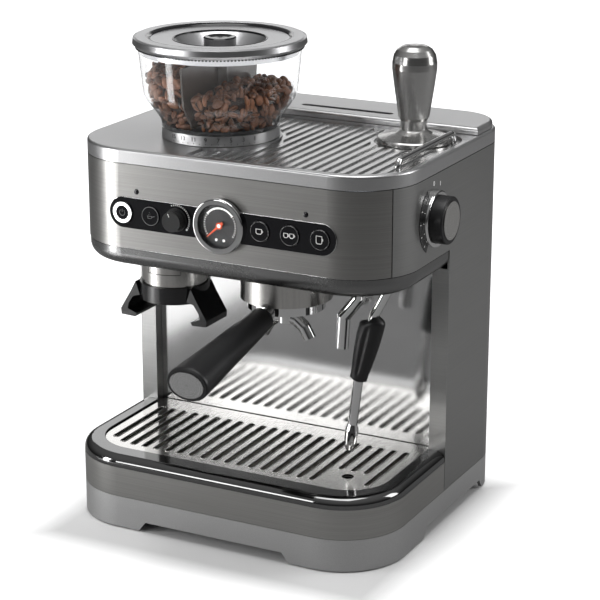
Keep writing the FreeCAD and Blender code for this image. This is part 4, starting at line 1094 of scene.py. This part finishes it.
    def bean_shape(self, sheet: GeometrySheet) -> Wire:
        """One bean: a ball flattened below, with a crease whose mask is stored so that the finish paints shade
        along it.
        """
        ball = sheet.wire("GeometryNodeMeshUVSphere", inputs={"Segments": 10, "Rings": 6, "Radius": 1.0})
        x, y, z = sheet.place()
        under = sheet.math("LESS_THAN", z, -0.01)
        crease = under * sheet.math("LESS_THAN", sheet.math("ABSOLUTE", y), self.crease_half)
        flat = z * (1.0 - under * self.belly_flatness) + crease * self.crease_depth
        moved = sheet.wire("ShaderNodeVectorMath", {"operation": "MULTIPLY"},
                           {0: sheet.vector(x, y, flat), 1: sheet.size("Bean")})
        creased = sheet.wire("GeometryNodeStoreNamedAttribute", {"data_type": "FLOAT", "domain": "POINT"}, {
            "Geometry": ball, "Name": "bean_crease_painted_shade", "Value": crease})
        bean = sheet.wire("GeometryNodeSetPosition", inputs={"Geometry": creased, "Position": moved})
        return sheet.wire("GeometryNodeSetShadeSmooth", inputs={"Geometry": bean, "Shade Smooth": True})

    def heap(self) -> None:
        """Beans scattered over the envelope, with a dark core of painted shade that closes the gaps between
        them.
        """
        sheet = GeometrySheet("bean_heap", {"Spacing": self.bean_spacing, "Density": 60000.0,
                                            "Seed": self.seed, "Bean": self.bean_size})
        points = sheet.wire("GeometryNodeDistributePointsOnFaces", {"distribute_method": "POISSON"}, {
            "Mesh": sheet.entrance("Envelope"), "Distance Min": sheet.size("Spacing"),
            "Density Max": sheet.size("Density"), "Seed": sheet.size("Seed")})
        turn = sheet.wire("FunctionNodeRandomValue", {"data_type": "FLOAT_VECTOR"}, {
            0: (0.0, 0.0, 0.0), 1: (FULL_TURN,) * 3, "Seed": sheet.size("Seed") + 1.0})
        size = sheet.wire("FunctionNodeRandomValue", {"data_type": "FLOAT"}, {
            2: 0.82, 3: 1.12, "Seed": sheet.size("Seed") + 2.0}, output=1)
        beans = sheet.wire("GeometryNodeInstanceOnPoints", inputs={
            "Points": points, "Instance": self.bean_shape(sheet), "Rotation": turn, "Scale": size})
        shade = sheet.wire("FunctionNodeRandomValue", {"data_type": "FLOAT"}, {
            2: 0.0, 3: 1.0, "Seed": sheet.size("Seed") + 3.0}, output=1)
        shaded = sheet.wire("GeometryNodeStoreNamedAttribute", {"data_type": "FLOAT", "domain": "INSTANCE"}, {
            "Geometry": beans, "Name": "bean_shade", "Value": shade})
        sheet.close(shaded, BEAN_ROAST)
        envelope = joined([self.heap_mesh(side, self.bean_gap) for side in (-1, 1)])
        self.shop.keep("coffee_beans", sheet.bake(envelope), BEAN_ROAST, Body.HOPPER, "lid_satin")
        # The dark core is painted shade, seen through the gaps between the beans.
        core = joined([self.heap_mesh(side, self.bean_gap + self.core_gap) for side in (-1, 1)])
        self.shop.keep("bean_core_painted_shade", core, BEAN_CORE_PAINTED_SHADE, Body.HOPPER, "lid_satin")

    def inner_walls(self) -> None:
        """The smoked partition between the two chambers, with its round post."""
        top = node_box("hopper_lid")[0].z - 0.8 * MM
        foot = self.heap_foot + 1 * MM
        half = 0.8 * MM
        rows = 14
        shape = bmesh.new()
        rings = []
        for i in range(rows + 1):
            z = foot + (top - foot) * i / rows
            reach = self.bowl_radius(z) - self.wall - 0.7 * MM
            rings.append([shape.verts.new(self.axis + Vector((x, y, z)))
                          for x, y in ((-half, -reach), (half, -reach), (half, reach), (-half, reach))])
        for one, two in zip(rings, rings[1:]):
            bridge(shape, one, two)
        shape.faces.new(rings[0][::-1])
        shape.faces.new(rings[-1])
        height = top - foot
        post = turned([(0, 0), (6.4 * MM, 0), (6.0 * MM, height - 1 * MM), (5.0 * MM, height), (0, height)],
                      self.axis + Vector((0, 0, foot)), Facing.TOP, 40)
        self.shop.keep("hopper_partition", joined([sealed(shape, 30), post]), SMOKED_WALL, Body.HOPPER,
                       "lid_satin")

    def scale(self) -> None:
        """Numbers from 15 down to 1 and a row of dots on the grind scale."""
        low, high = node_box("hopper_ring")
        axis = self.axis
        radius = (high.x - low.x) / 2
        rise = high.z - 3.2 * MM
        first = math.radians(-112)
        step = math.radians(12.2)
        meshes = []
        for i, value in enumerate(range(15, 0, -2)):
            mesh = numeral(str(value), 4.8 * MM, 0.1 * MM)
            for vertex in mesh.vertices:
                angle = first + step * i + vertex.co.x / radius
                reach = radius + vertex.co.z + 0.02 * MM
                vertex.co = axis + Vector((reach * math.cos(angle), reach * math.sin(angle),
                                           rise + vertex.co.y))
            meshes.append(mesh)
        dots = tick_ring(15, radius, first, step * 7, Vector((0.14, 0.55, 0.55)) * MM, PRINT_DARK,
                         axis + Vector((0, 0, high.z - 6.4 * MM)), Facing.TOP)
        self.shop.keep("grind_scale", joined([*meshes, dots]), PRINT_DARK, Body.HOPPER, "gloss_black")

    def lid_ribs(self) -> None:
        """Fine ribs of the lid's seal, set round under its rim."""
        high = node_box("hopper_glass")[1].z
        centre = self.axis + Vector((0, 0, high + 0.15 * MM))
        ribs = tick_ring(150, self.mouth_radius + 1.2 * MM, 0.0, FULL_TURN * 149 / 150,
                         Vector((1.5, 1.3, 1.0)) * MM, GASKET_RUBBER, centre, Facing.TOP)
        self.shop.keep("lid_seal_ribs", ribs, GASKET_RUBBER, Body.HOPPER_LID, "gasket_rubber")

    def lid_lines(self) -> None:
        """The lid's black inset border and the dark line round its finger bowl."""
        top = node_box("hopper_lid")[1].z
        border = turned([(54.6 * MM, -2.3 * MM), (58.4 * MM, -0.9 * MM), (58.3 * MM, -0.1 * MM),
                         (57.6 * MM, 0.0), (54.9 * MM, -1.55 * MM)], self.axis + Vector((0, 0, top)), Facing.TOP)
        bowl = arc_points(self.axis + Vector((0, 0, top - 3.0 * MM)), Facing.TOP, 37.0 * MM, 0, FULL_TURN, 96)
        line = drawn([(bowl[:-1], True)], 0.75 * MM)
        self.shop.keep("lid_lines", joined([border, line]), GLOSS_BLACK, Body.HOPPER_LID, "gloss_black")

    def label_frame(self) -> None:
        """A thin blank frame printed round the outlet cover's front."""
        low, high = node_box("outlet_cover")
        centre = (low + high) / 2
        radius = (high.x - low.x) / 2 + 0.02 * MM
        span = (math.radians(-112), math.radians(-50))
        heights = (low.z + 10.5 * MM, low.z + 16.5 * MM)
        steps = 24
        spread = [span[0] + (span[1] - span[0]) * i / steps for i in range(steps + 1)]
        places = [(a, heights[0]) for a in spread] + [(a, heights[1]) for a in reversed(spread)]
        line = [Vector((centre.x + radius * math.cos(a), centre.y + radius * math.sin(a), z))
                for a, z in places]
        self.shop.keep("label_frame", drawn([(line, True)], 0.22 * MM, 1), PRINT_DARK, Body.MACHINE,
                       "cover_steel")


# ---- brewing ---------------------------------------------------------------------------------
@dataclass
class BrewGroup(Assembly):
    """Group head with its cover, and the portafilter."""

    def dress(self) -> None:
        """Gives the group's nodes their finishes."""
        low, high = node_box("handle_cap")
        cap = TurnedSteel("cap_steel", (0.62, 0.62, 0.62), centre=tuple((low + high) / 2), rough=0.26)
        self.shop.dress({
            "group_cover": COVER_STEEL, "group_head": CAST_ALLOY, "group_gasket": GASKET_RUBBER,
            "shower_screen": BASKET_STEEL, "portafilter_body": CHROME, "filter_basket": BASKET_STEEL,
            "twin_spout": CHROME, "handle_grip": GRIP_BLACK, "handle_cap": cap})


# ---- steam side ------------------------------------------------------------------------------
@dataclass
class SteamSide(Assembly):
    """Steam wand with its grip, hot-water pipe and the side dial."""

    grip_top: Vector = field(default_factory=lambda: Vector((98.6, -18.6, 189.6)) * MM)
    grip_way: Vector = field(default_factory=lambda: Vector((-13.4, 0.0, -54.0)).normalized())
    grip_length: float = 57.0 * MM
    grip_half_width: float = 10.6 * MM
    grip_half_depth: float = 8.2 * MM
    lobe_drop: float = 6.0 * MM
    groove_depth: float = 1.5 * MM
    plate_rim: tuple[float, float] = (22.5 * MM, 27.6 * MM)
    plate_thickness: float = 0.35 * MM
    plate_span: tuple[float, float] = (math.radians(118), math.radians(122))
    digit_reach: float = 27.5 * MM

    def dress(self) -> None:
        """Gives the steam side's nodes their finishes."""
        low, high = node_box("dial_cap")
        cap = TurnedSteel("dial_cap_steel", (0.66, 0.65, 0.63), centre=tuple((low + high) / 2),
                          rough=0.24)
        self.shop.dress({
            "wand_tube": CHROME, "wand_tip": CHROME, "hot_water_pipe": CHROME, "wand_grip": GRIP_BLACK,
            "steam_dial": GRIP_BLACK, "dial_cap": cap, "dial_escutcheon": CHROME})

    def build(self) -> None:
        """Makes the sculpted grip and the scale beside the dial."""
        self.grip()
        self.dial_scale()

    def grip(self) -> None:
        """The wand's sleeve: an oval loft with a finger groove and a shoulder that drops on one side."""
        around, along = 72, 44
        way = self.grip_way
        side = Vector((way.z, 0.0, -way.x)) * -1.0
        fore = Vector((0.0, -1.0, 0.0))
        shape = bmesh.new()
        rings = []
        for i in range(along + 1):
            t = i / along
            bulge = 0.78 + 0.22 * math.sin(math.pi * min(1.0, 0.28 + 0.8 * t)) - 0.10 * t
            cap = math.sqrt(max(0.0, 1 - (1 - min(1.0, t / 0.09)) ** 2))
            tail = math.sqrt(max(0.0, 1 - (1 - min(1.0, (1 - t) / 0.03)) ** 2)) * 0.35 + 0.65
            ring = []
            for j in range(around):
                angle = FULL_TURN * j / around
                c, s = math.cos(angle), math.sin(angle)
                lobe = self.lobe_drop * 0.5 * (1 + math.tanh(-3 * c - 0.6)) * (1 - t) ** 1.5
                groove = self.groove_depth * math.exp(-((angle - 1.5 * math.pi) / 0.17) ** 2)
                groove *= max(0.0, math.sin(math.pi * min(1.0, max(0.0, (t - 0.12) / 0.78)))) ** 0.35
                width = max(4.15 * MM, self.grip_half_width * bulge * cap * tail)
                depth = max(4.15 * MM, self.grip_half_depth * bulge * cap * tail) - groove
                place = (self.grip_top + way * (t * self.grip_length + lobe) + side * (width * c)
                         - fore * (depth * s))
                ring.append(shape.verts.new(place))
            rings.append(ring)
        for one, two in zip(rings, rings[1:]):
            bridge(shape, one, two)
        shape.faces.new(rings[0][::-1])
        shape.faces.new(rings[-1])
        self.shop.keep("wand_sleeve", sealed(shape, 60), GRIP_BLACK, Body.WAND, "grip_black", ["wand_grip"])

    def dial_scale(self) -> None:
        """The black scale plate in front of the dial, its tick, and two small digits above."""
        centre = middle("dial_escutcheon")
        centre.x = node_box("dial_escutcheon")[0].x
        inner, outer = self.plate_rim
        thick = self.plate_thickness
        profile = [(inner, -0.1 * MM), (outer, -0.1 * MM), (outer, thick), (inner, thick)]
        start, sweep = self.plate_span
        plate = turned(profile, centre, Facing.RIGHT, 48, start, sweep)
        self.shop.keep("dial_scale_plate", plate, BLACK_PLASTIC, Body.MACHINE, "black_plastic")
        ticks = tick_ring(5, (inner + outer) / 2, start + math.radians(14), sweep - math.radians(28),
                          Vector((1.6, 0.5, 0.16)) * MM, GLOWING_PRINT_WHITE,
                          centre + Vector((thick, 0, 0)), Facing.RIGHT)
        turn = Facing.RIGHT.turn().to_4x4()
        digits = []
        for text, angle in (("0", 92), ("1", 66)):
            mesh = numeral(text, 5.0 * MM, 0.16 * MM)
            a = math.radians(angle)
            spot = Facing.RIGHT.place(centre, self.digit_reach * math.cos(a), self.digit_reach * math.sin(a))
            mesh.transform(Matrix.Translation(spot) @ turn)
            digits.append(mesh)
        self.shop.keep("dial_marks", joined([ticks, *digits]), GLOWING_PRINT_WHITE, Body.MACHINE, "black_plastic")


# ---- drip tray -------------------------------------------------------------------------------
@dataclass
class DripTray(Assembly):
    """Drip tray with its chrome rim, steel grille and float."""

    front_inset: float = 21 * MM
    slot_count: int = 22
    slot_pitch: float = 10.95 * MM
    slot_width: float = 5.0 * MM
    slot_front: float = 32.0 * MM
    slot_back: float = 119.0 * MM
    grille_half: float = 127.6 * MM
    corner: float = 36.0 * MM
    lip_radius: float = 0.45 * MM
    float_x: float = 94.0 * MM
    float_front: float = 62.4 * MM

    def dress(self) -> None:
        """Gives the tray's nodes their finishes."""
        self.shop.dress({"drip_tray": BAND_STEEL, "tray_rim": RIM_CHROME, "tray_grille": TRAY_STEEL,
                         "tray_float": FLOAT_PLASTIC})

    def build(self) -> None:
        """Makes the rolled lips of the grille's slots."""
        self.slot_lips()

    def slot_lips(self) -> None:
        """A rolled lip round every slot: pills instanced along a line, each stretched to its slot."""
        low, high = node_box("tray_grille")
        shift = middle("tray_grille").x
        origin_y = low.y - self.front_inset
        slots = []
        for i in range(self.slot_count):
            x = (i - (self.slot_count - 1) / 2) * self.slot_pitch
            in_corner = max(0.0, abs(x) - (self.grille_half - self.corner))
            front = self.slot_front + self.corner - math.sqrt(self.corner ** 2 - in_corner ** 2)
            if abs(x - self.float_x) < 1.2 * self.slot_pitch:
                front = self.float_front
            slots.append((Vector((shift + x, origin_y + front, high.z)), self.slot_back - front))
        self.shop.keep("slot_lips", self.lip_tree(slots), TRAY_STEEL, Body.GRILLE, "tray_steel")

    def lip_tree(self, slots: Sequence[tuple[Vector, float]]) -> bpy.types.Mesh:
        """Instances one rounded lip per slot.

        Args:
            slots: each slot's front end and its length.

        Returns:
            One mesh with every lip.
        """
        base = bpy.data.meshes.new("slot_ends")
        base.from_pydata([place for place, _ in slots], [], [])
        lengths = base.attributes.new("slot_length", "FLOAT", "POINT")
        lengths.data.foreach_set("value", [length for _, length in slots])
        sheet = GeometrySheet("slot_lips", {"Width": self.slot_width, "Lip": self.lip_radius})
        half = sheet.size("Width") / 2.0
        ring = sheet.wire("GeometryNodeCurvePrimitiveCircle", {"mode": "RADIUS"}, {
            "Resolution": 32, "Radius": half})
        length = sheet.wire("GeometryNodeInputNamedAttribute", {"data_type": "FLOAT"},
                            {"Name": "slot_length"})
        round_rod = sheet.wire("GeometryNodeCurvePrimitiveCircle", {"mode": "RADIUS"}, {
            "Resolution": 8, "Radius": sheet.size("Lip")})
        loop = sheet.wire("GeometryNodeCurveToMesh", inputs={"Curve": ring, "Profile Curve": round_rod})
        placed = sheet.wire("GeometryNodeInstanceOnPoints", inputs={
            "Points": sheet.entrance("Ends"), "Instance": loop})
        kept = sheet.wire("GeometryNodeStoreNamedAttribute", {"data_type": "FLOAT", "domain": "INSTANCE"}, {
            "Geometry": placed, "Name": "stretch", "Value": length})
        origin = sheet.wire("GeometryNodeStoreNamedAttribute", {"data_type": "FLOAT", "domain": "INSTANCE"}, {
            "Geometry": kept, "Name": "front_y", "Value": sheet.place()[1]})
        real = sheet.wire("GeometryNodeRealizeInstances", inputs={0: origin})
        y = sheet.place()[1]
        front = sheet.wire("GeometryNodeInputNamedAttribute", {"data_type": "FLOAT"}, {"Name": "front_y"})
        stretch = sheet.wire("GeometryNodeInputNamedAttribute", {"data_type": "FLOAT"}, {"Name": "stretch"})
        behind = sheet.math("GREATER_THAN", y - front, 1e-5)
        push = sheet.vector(0.0, behind * (stretch - sheet.size("Width")) + sheet.size("Width") / 2.0, 0.0)
        pulled = sheet.wire("GeometryNodeSetPosition", inputs={"Geometry": real, "Offset": push})
        sheet.close(pulled, TRAY_STEEL)
        mesh = sheet.bake(base)
        for polygon in mesh.polygons:
            polygon.use_smooth = True
        return mesh


# ---- loose pieces ----------------------------------------------------------------------------
@dataclass
class LoosePieces(Assembly):
    """The tamper, the water tank and its lid."""

    def dress(self) -> None:
        """Gives the tamper and the tank their finishes."""
        self.shop.dress({"tamper_base": TAMPER_STEEL, "tamper_handle": TAMPER_STEEL,
                         "water_tank": TANK_PLASTIC, "tank_lid": SATIN_SILVER})


# ---- studio ----------------------------------------------------------------------------------
@dataclass(frozen=True)
class SoftBox:
    """One area light."""

    name: str
    place: Triple
    aim: Triple
    size: tuple[float, float]
    power: float

    def build(self) -> None:
        """Adds the light, turned to its aim."""
        data = bpy.data.lights.new(self.name, "AREA")
        data.shape = "RECTANGLE"
        data.size, data.size_y = self.size
        data.energy = self.power
        lamp = bpy.data.objects.new(self.name, data)
        lamp.location = self.place
        lamp.rotation_mode = "QUATERNION"
        lamp.rotation_quaternion = (Vector(self.aim) - Vector(self.place)).to_track_quat("-Z", "Y")
        lamp.visible_camera = False
        bpy.context.scene.collection.objects.link(lamp)


LIGHTS = (
    SoftBox("top_box", (0.0, -0.1, 1.9), (0, 0.05, 0.2), (1.3, 1.1), 17),
    SoftBox("left_strip", (-0.64, -0.52, 0.19), (0, -0.03, 0.17), (0.16, 0.44), 2.6),
    SoftBox("left_front_box", (-0.95, -1.95, 0.62), (0, 0, 0.15), (0.55, 0.50), 5.0),
    SoftBox("right_box", (1.7, 0.9, 0.9), (0.1, 0, 0.2), (0.6, 1.1), 11),
    SoftBox("back_rim", (-0.9, 1.7, 0.75), (0, 0.1, 0.3), (1.2, 0.35), 1.7),
)


@dataclass
class Studio:
    """Pale floor, soft lights, dark and light surroundings for the metal, and the camera."""

    camera_place: Triple = (0.7352, -1.3741, 0.6766)
    azimuth: float = math.radians(27.364)
    elevation: float = math.radians(17.599)
    lens: float = 122.0
    floor_half: float = 6.0
    floor_tones: tuple[float, float] = (0.84, 0.88)
    floor_lift: float = 0.64
    lift_span: tuple[float, float] = (0.35, 1.3)
    # Painted shadow: the floor's glow fades back in over this width outside a box under the machine of the half
    # sizes below.
    lift_edge: float = 0.035
    footprint_half: tuple[float, float] = (0.136, 0.118)
    card: tuple[tuple[float, float], tuple[float, float]] = ((-0.66, -0.58), (-0.31, -0.20))
    card_height: float = 2 * MM
    card_glow: float = 0.5
    floor_tone_in_metal: float = 0.30

    def build(self) -> None:
        """Sets up everything round the machine."""
        self.floor()
        self.bounce_card()
        self.world()
        self.camera()
        for box in LIGHTS:
            box.build()
            LOG.info("light %s: %g W", box.name, box.power)

    @staticmethod
    def looked_at(sheet: NodeSheet) -> Wire:
        """1 for what the eye sees, straight or through clear plastic, and 0 for what metal reflects."""
        path = sheet.node("ShaderNodeLightPath")
        straight, through = (Wire(sheet, path.outputs[n]) for n in ("Is Camera Ray", "Is Transmission Ray"))
        return sheet.math("MAXIMUM", straight, through)

    @staticmethod
    def flat_sheet(name: str, low: tuple[float, float], high: tuple[float, float], z: float,
                   material: bpy.types.Material) -> bpy.types.Object:
        """Lays a level rectangle as a part of the stage.

        Args:
            name: its name.
            low: its lowest X and Y.
            high: its highest X and Y.
            z: its height.
            material: what it is dressed in.

        Returns:
            The rectangle's object.
        """
        mesh = bpy.data.meshes.new(name)
        mesh.from_pydata([(low[0], low[1], z), (high[0], low[1], z), (high[0], high[1], z),
                          (low[0], high[1], z)], [], [(0, 1, 2, 3)])
        mesh.materials.append(material)
        laid = bpy.data.objects.new(name, mesh)
        bpy.context.scene.collection.objects.link(laid)
        return laid

    def floor(self) -> None:
        """The counter: one pale sheet round the machine."""
        half = self.floor_half
        self.flat_sheet("floor", (-half, -half), (half, half), 0.0, self.floor_material())

    def floor_material(self) -> bpy.types.Material:
        """White to the eye, with a lift that grows away from the machine and is cut out under it as a painted
        shadow, and darker as the metal sees it.
        """
        made = bpy.data.materials.new("floor_sheet")
        made.use_nodes = True
        sheet = NodeSheet(made.node_tree)
        low, high, to_metal = (sheet.wire("ShaderNodeBsdfDiffuse", inputs={"Color": (tone, tone, tone, 1)})
                               for tone in (*self.floor_tones, self.floor_tone_in_metal))
        mottle = Finish.noise(sheet, (9.0, 9.0, 9.0))
        matt = sheet.wire("ShaderNodeMixShader", inputs={0: mottle, 1: low, 2: high})
        where = sheet.wire("ShaderNodeTexCoord", output="Object")
        reach = sheet.wire("ShaderNodeVectorMath", {"operation": "LENGTH"}, {0: where}, output="Value")
        # Painted shadow: the glow is cut out under the machine's footprint, so the floor there is darker.
        past = [sheet.math("ABSOLUTE", along) - half
                for along, half in zip(sheet.parts(where), self.footprint_half)]
        outside_painted_shadow = sheet.spread(sheet.math("MAXIMUM", *past), 0.0, 1.0, 0.0, self.lift_edge)
        lift = sheet.spread(reach, self.floor_lift, 1.0, *self.lift_span) * outside_painted_shadow
        glow = sheet.wire("ShaderNodeEmission", inputs={"Color": (1, 1, 1, 1), "Strength": 1.0})
        lifted = sheet.wire("ShaderNodeMixShader", inputs={0: lift, 2: glow})
        to_eye = sheet.wire("ShaderNodeAddShader", inputs={0: matt, 1: lifted})
        both = sheet.wire("ShaderNodeMixShader", inputs={0: self.looked_at(sheet), 1: to_metal, 2: to_eye})
        sheet.node("ShaderNodeOutputMaterial", inputs={"Surface": both})
        return made

    def bounce_card(self) -> None:
        """A white card on the counter, out of sight, that the splash panel and the base reflect."""
        white = Lamp("card_white", (1.0, 1.0, 1.0), strength=self.card_glow)
        card = self.flat_sheet("bounce_card", *self.card, self.card_height, white.material())
        card.visible_camera = False
        card.visible_shadow = False

    @staticmethod
    def world() -> None:
        """White to the eye; in reflections, dim at the horizon and bright overhead."""
        world = bpy.data.worlds.new("studio")
        bpy.context.scene.world = world
        world.use_nodes = True
        sheet = NodeSheet(world.node_tree)
        way = sheet.wire("ShaderNodeTexCoord", output="Generated")
        height = sheet.parts(way)[2]
        glow = sheet.wire("ShaderNodeValToRGB", {"stops": [
            (0.0, (0.05, 0.05, 0.05)), (0.10, (0.05, 0.05, 0.05)), (0.30, (0.13, 0.13, 0.13)),
            (0.55, (0.30, 0.30, 0.30)), (1.0, (0.45, 0.45, 0.45))]}, {0: height})
        seen = Studio.looked_at(sheet)
        ambient = sheet.wire("ShaderNodeBackground", inputs={"Color": glow, "Strength": 0.75})
        backdrop = sheet.wire("ShaderNodeBackground", inputs={"Color": (1, 1, 1, 1), "Strength": 1.0})
        both = sheet.wire("ShaderNodeMixShader", inputs={0: seen, 1: ambient, 2: backdrop})
        sheet.node("ShaderNodeOutputWorld", inputs={"Surface": both})

    def camera(self) -> None:
        """A long lens, level from side to side, looking down at the machine's front right."""
        data = bpy.data.cameras.new("camera")
        data.lens = self.lens
        data.sensor_width = 36.0
        data.clip_start = 0.05
        data.clip_end = 50.0
        camera = bpy.data.objects.new("camera", data)
        a, e = self.azimuth, self.elevation
        back = Vector((math.sin(a) * math.cos(e), -math.cos(a) * math.cos(e), math.sin(e)))
        camera.location = self.camera_place
        camera.rotation_mode = "QUATERNION"
        camera.rotation_quaternion = (-back).to_track_quat("-Z", "Y")
        bpy.context.scene.collection.objects.link(camera)
        bpy.context.scene.camera = camera


def main() -> None:
    """Builds and dresses every sub-assembly in order, then the studio."""
    logging.basicConfig(level=logging.INFO, format="%(message)s")
    bpy.context.scene.view_settings.view_transform = "Standard"
    shop = Workshop()
    makers = (Casework, Controls, Grinder, BrewGroup, SteamSide, DripTray, LoosePieces)
    for maker in makers:
        assembly = maker(shop)
        assembly.dress()
        assembly.build()
    LOG.info("%d new pieces", len(shop.made))
    Studio().build()


if __name__ == "__main__":
    main()
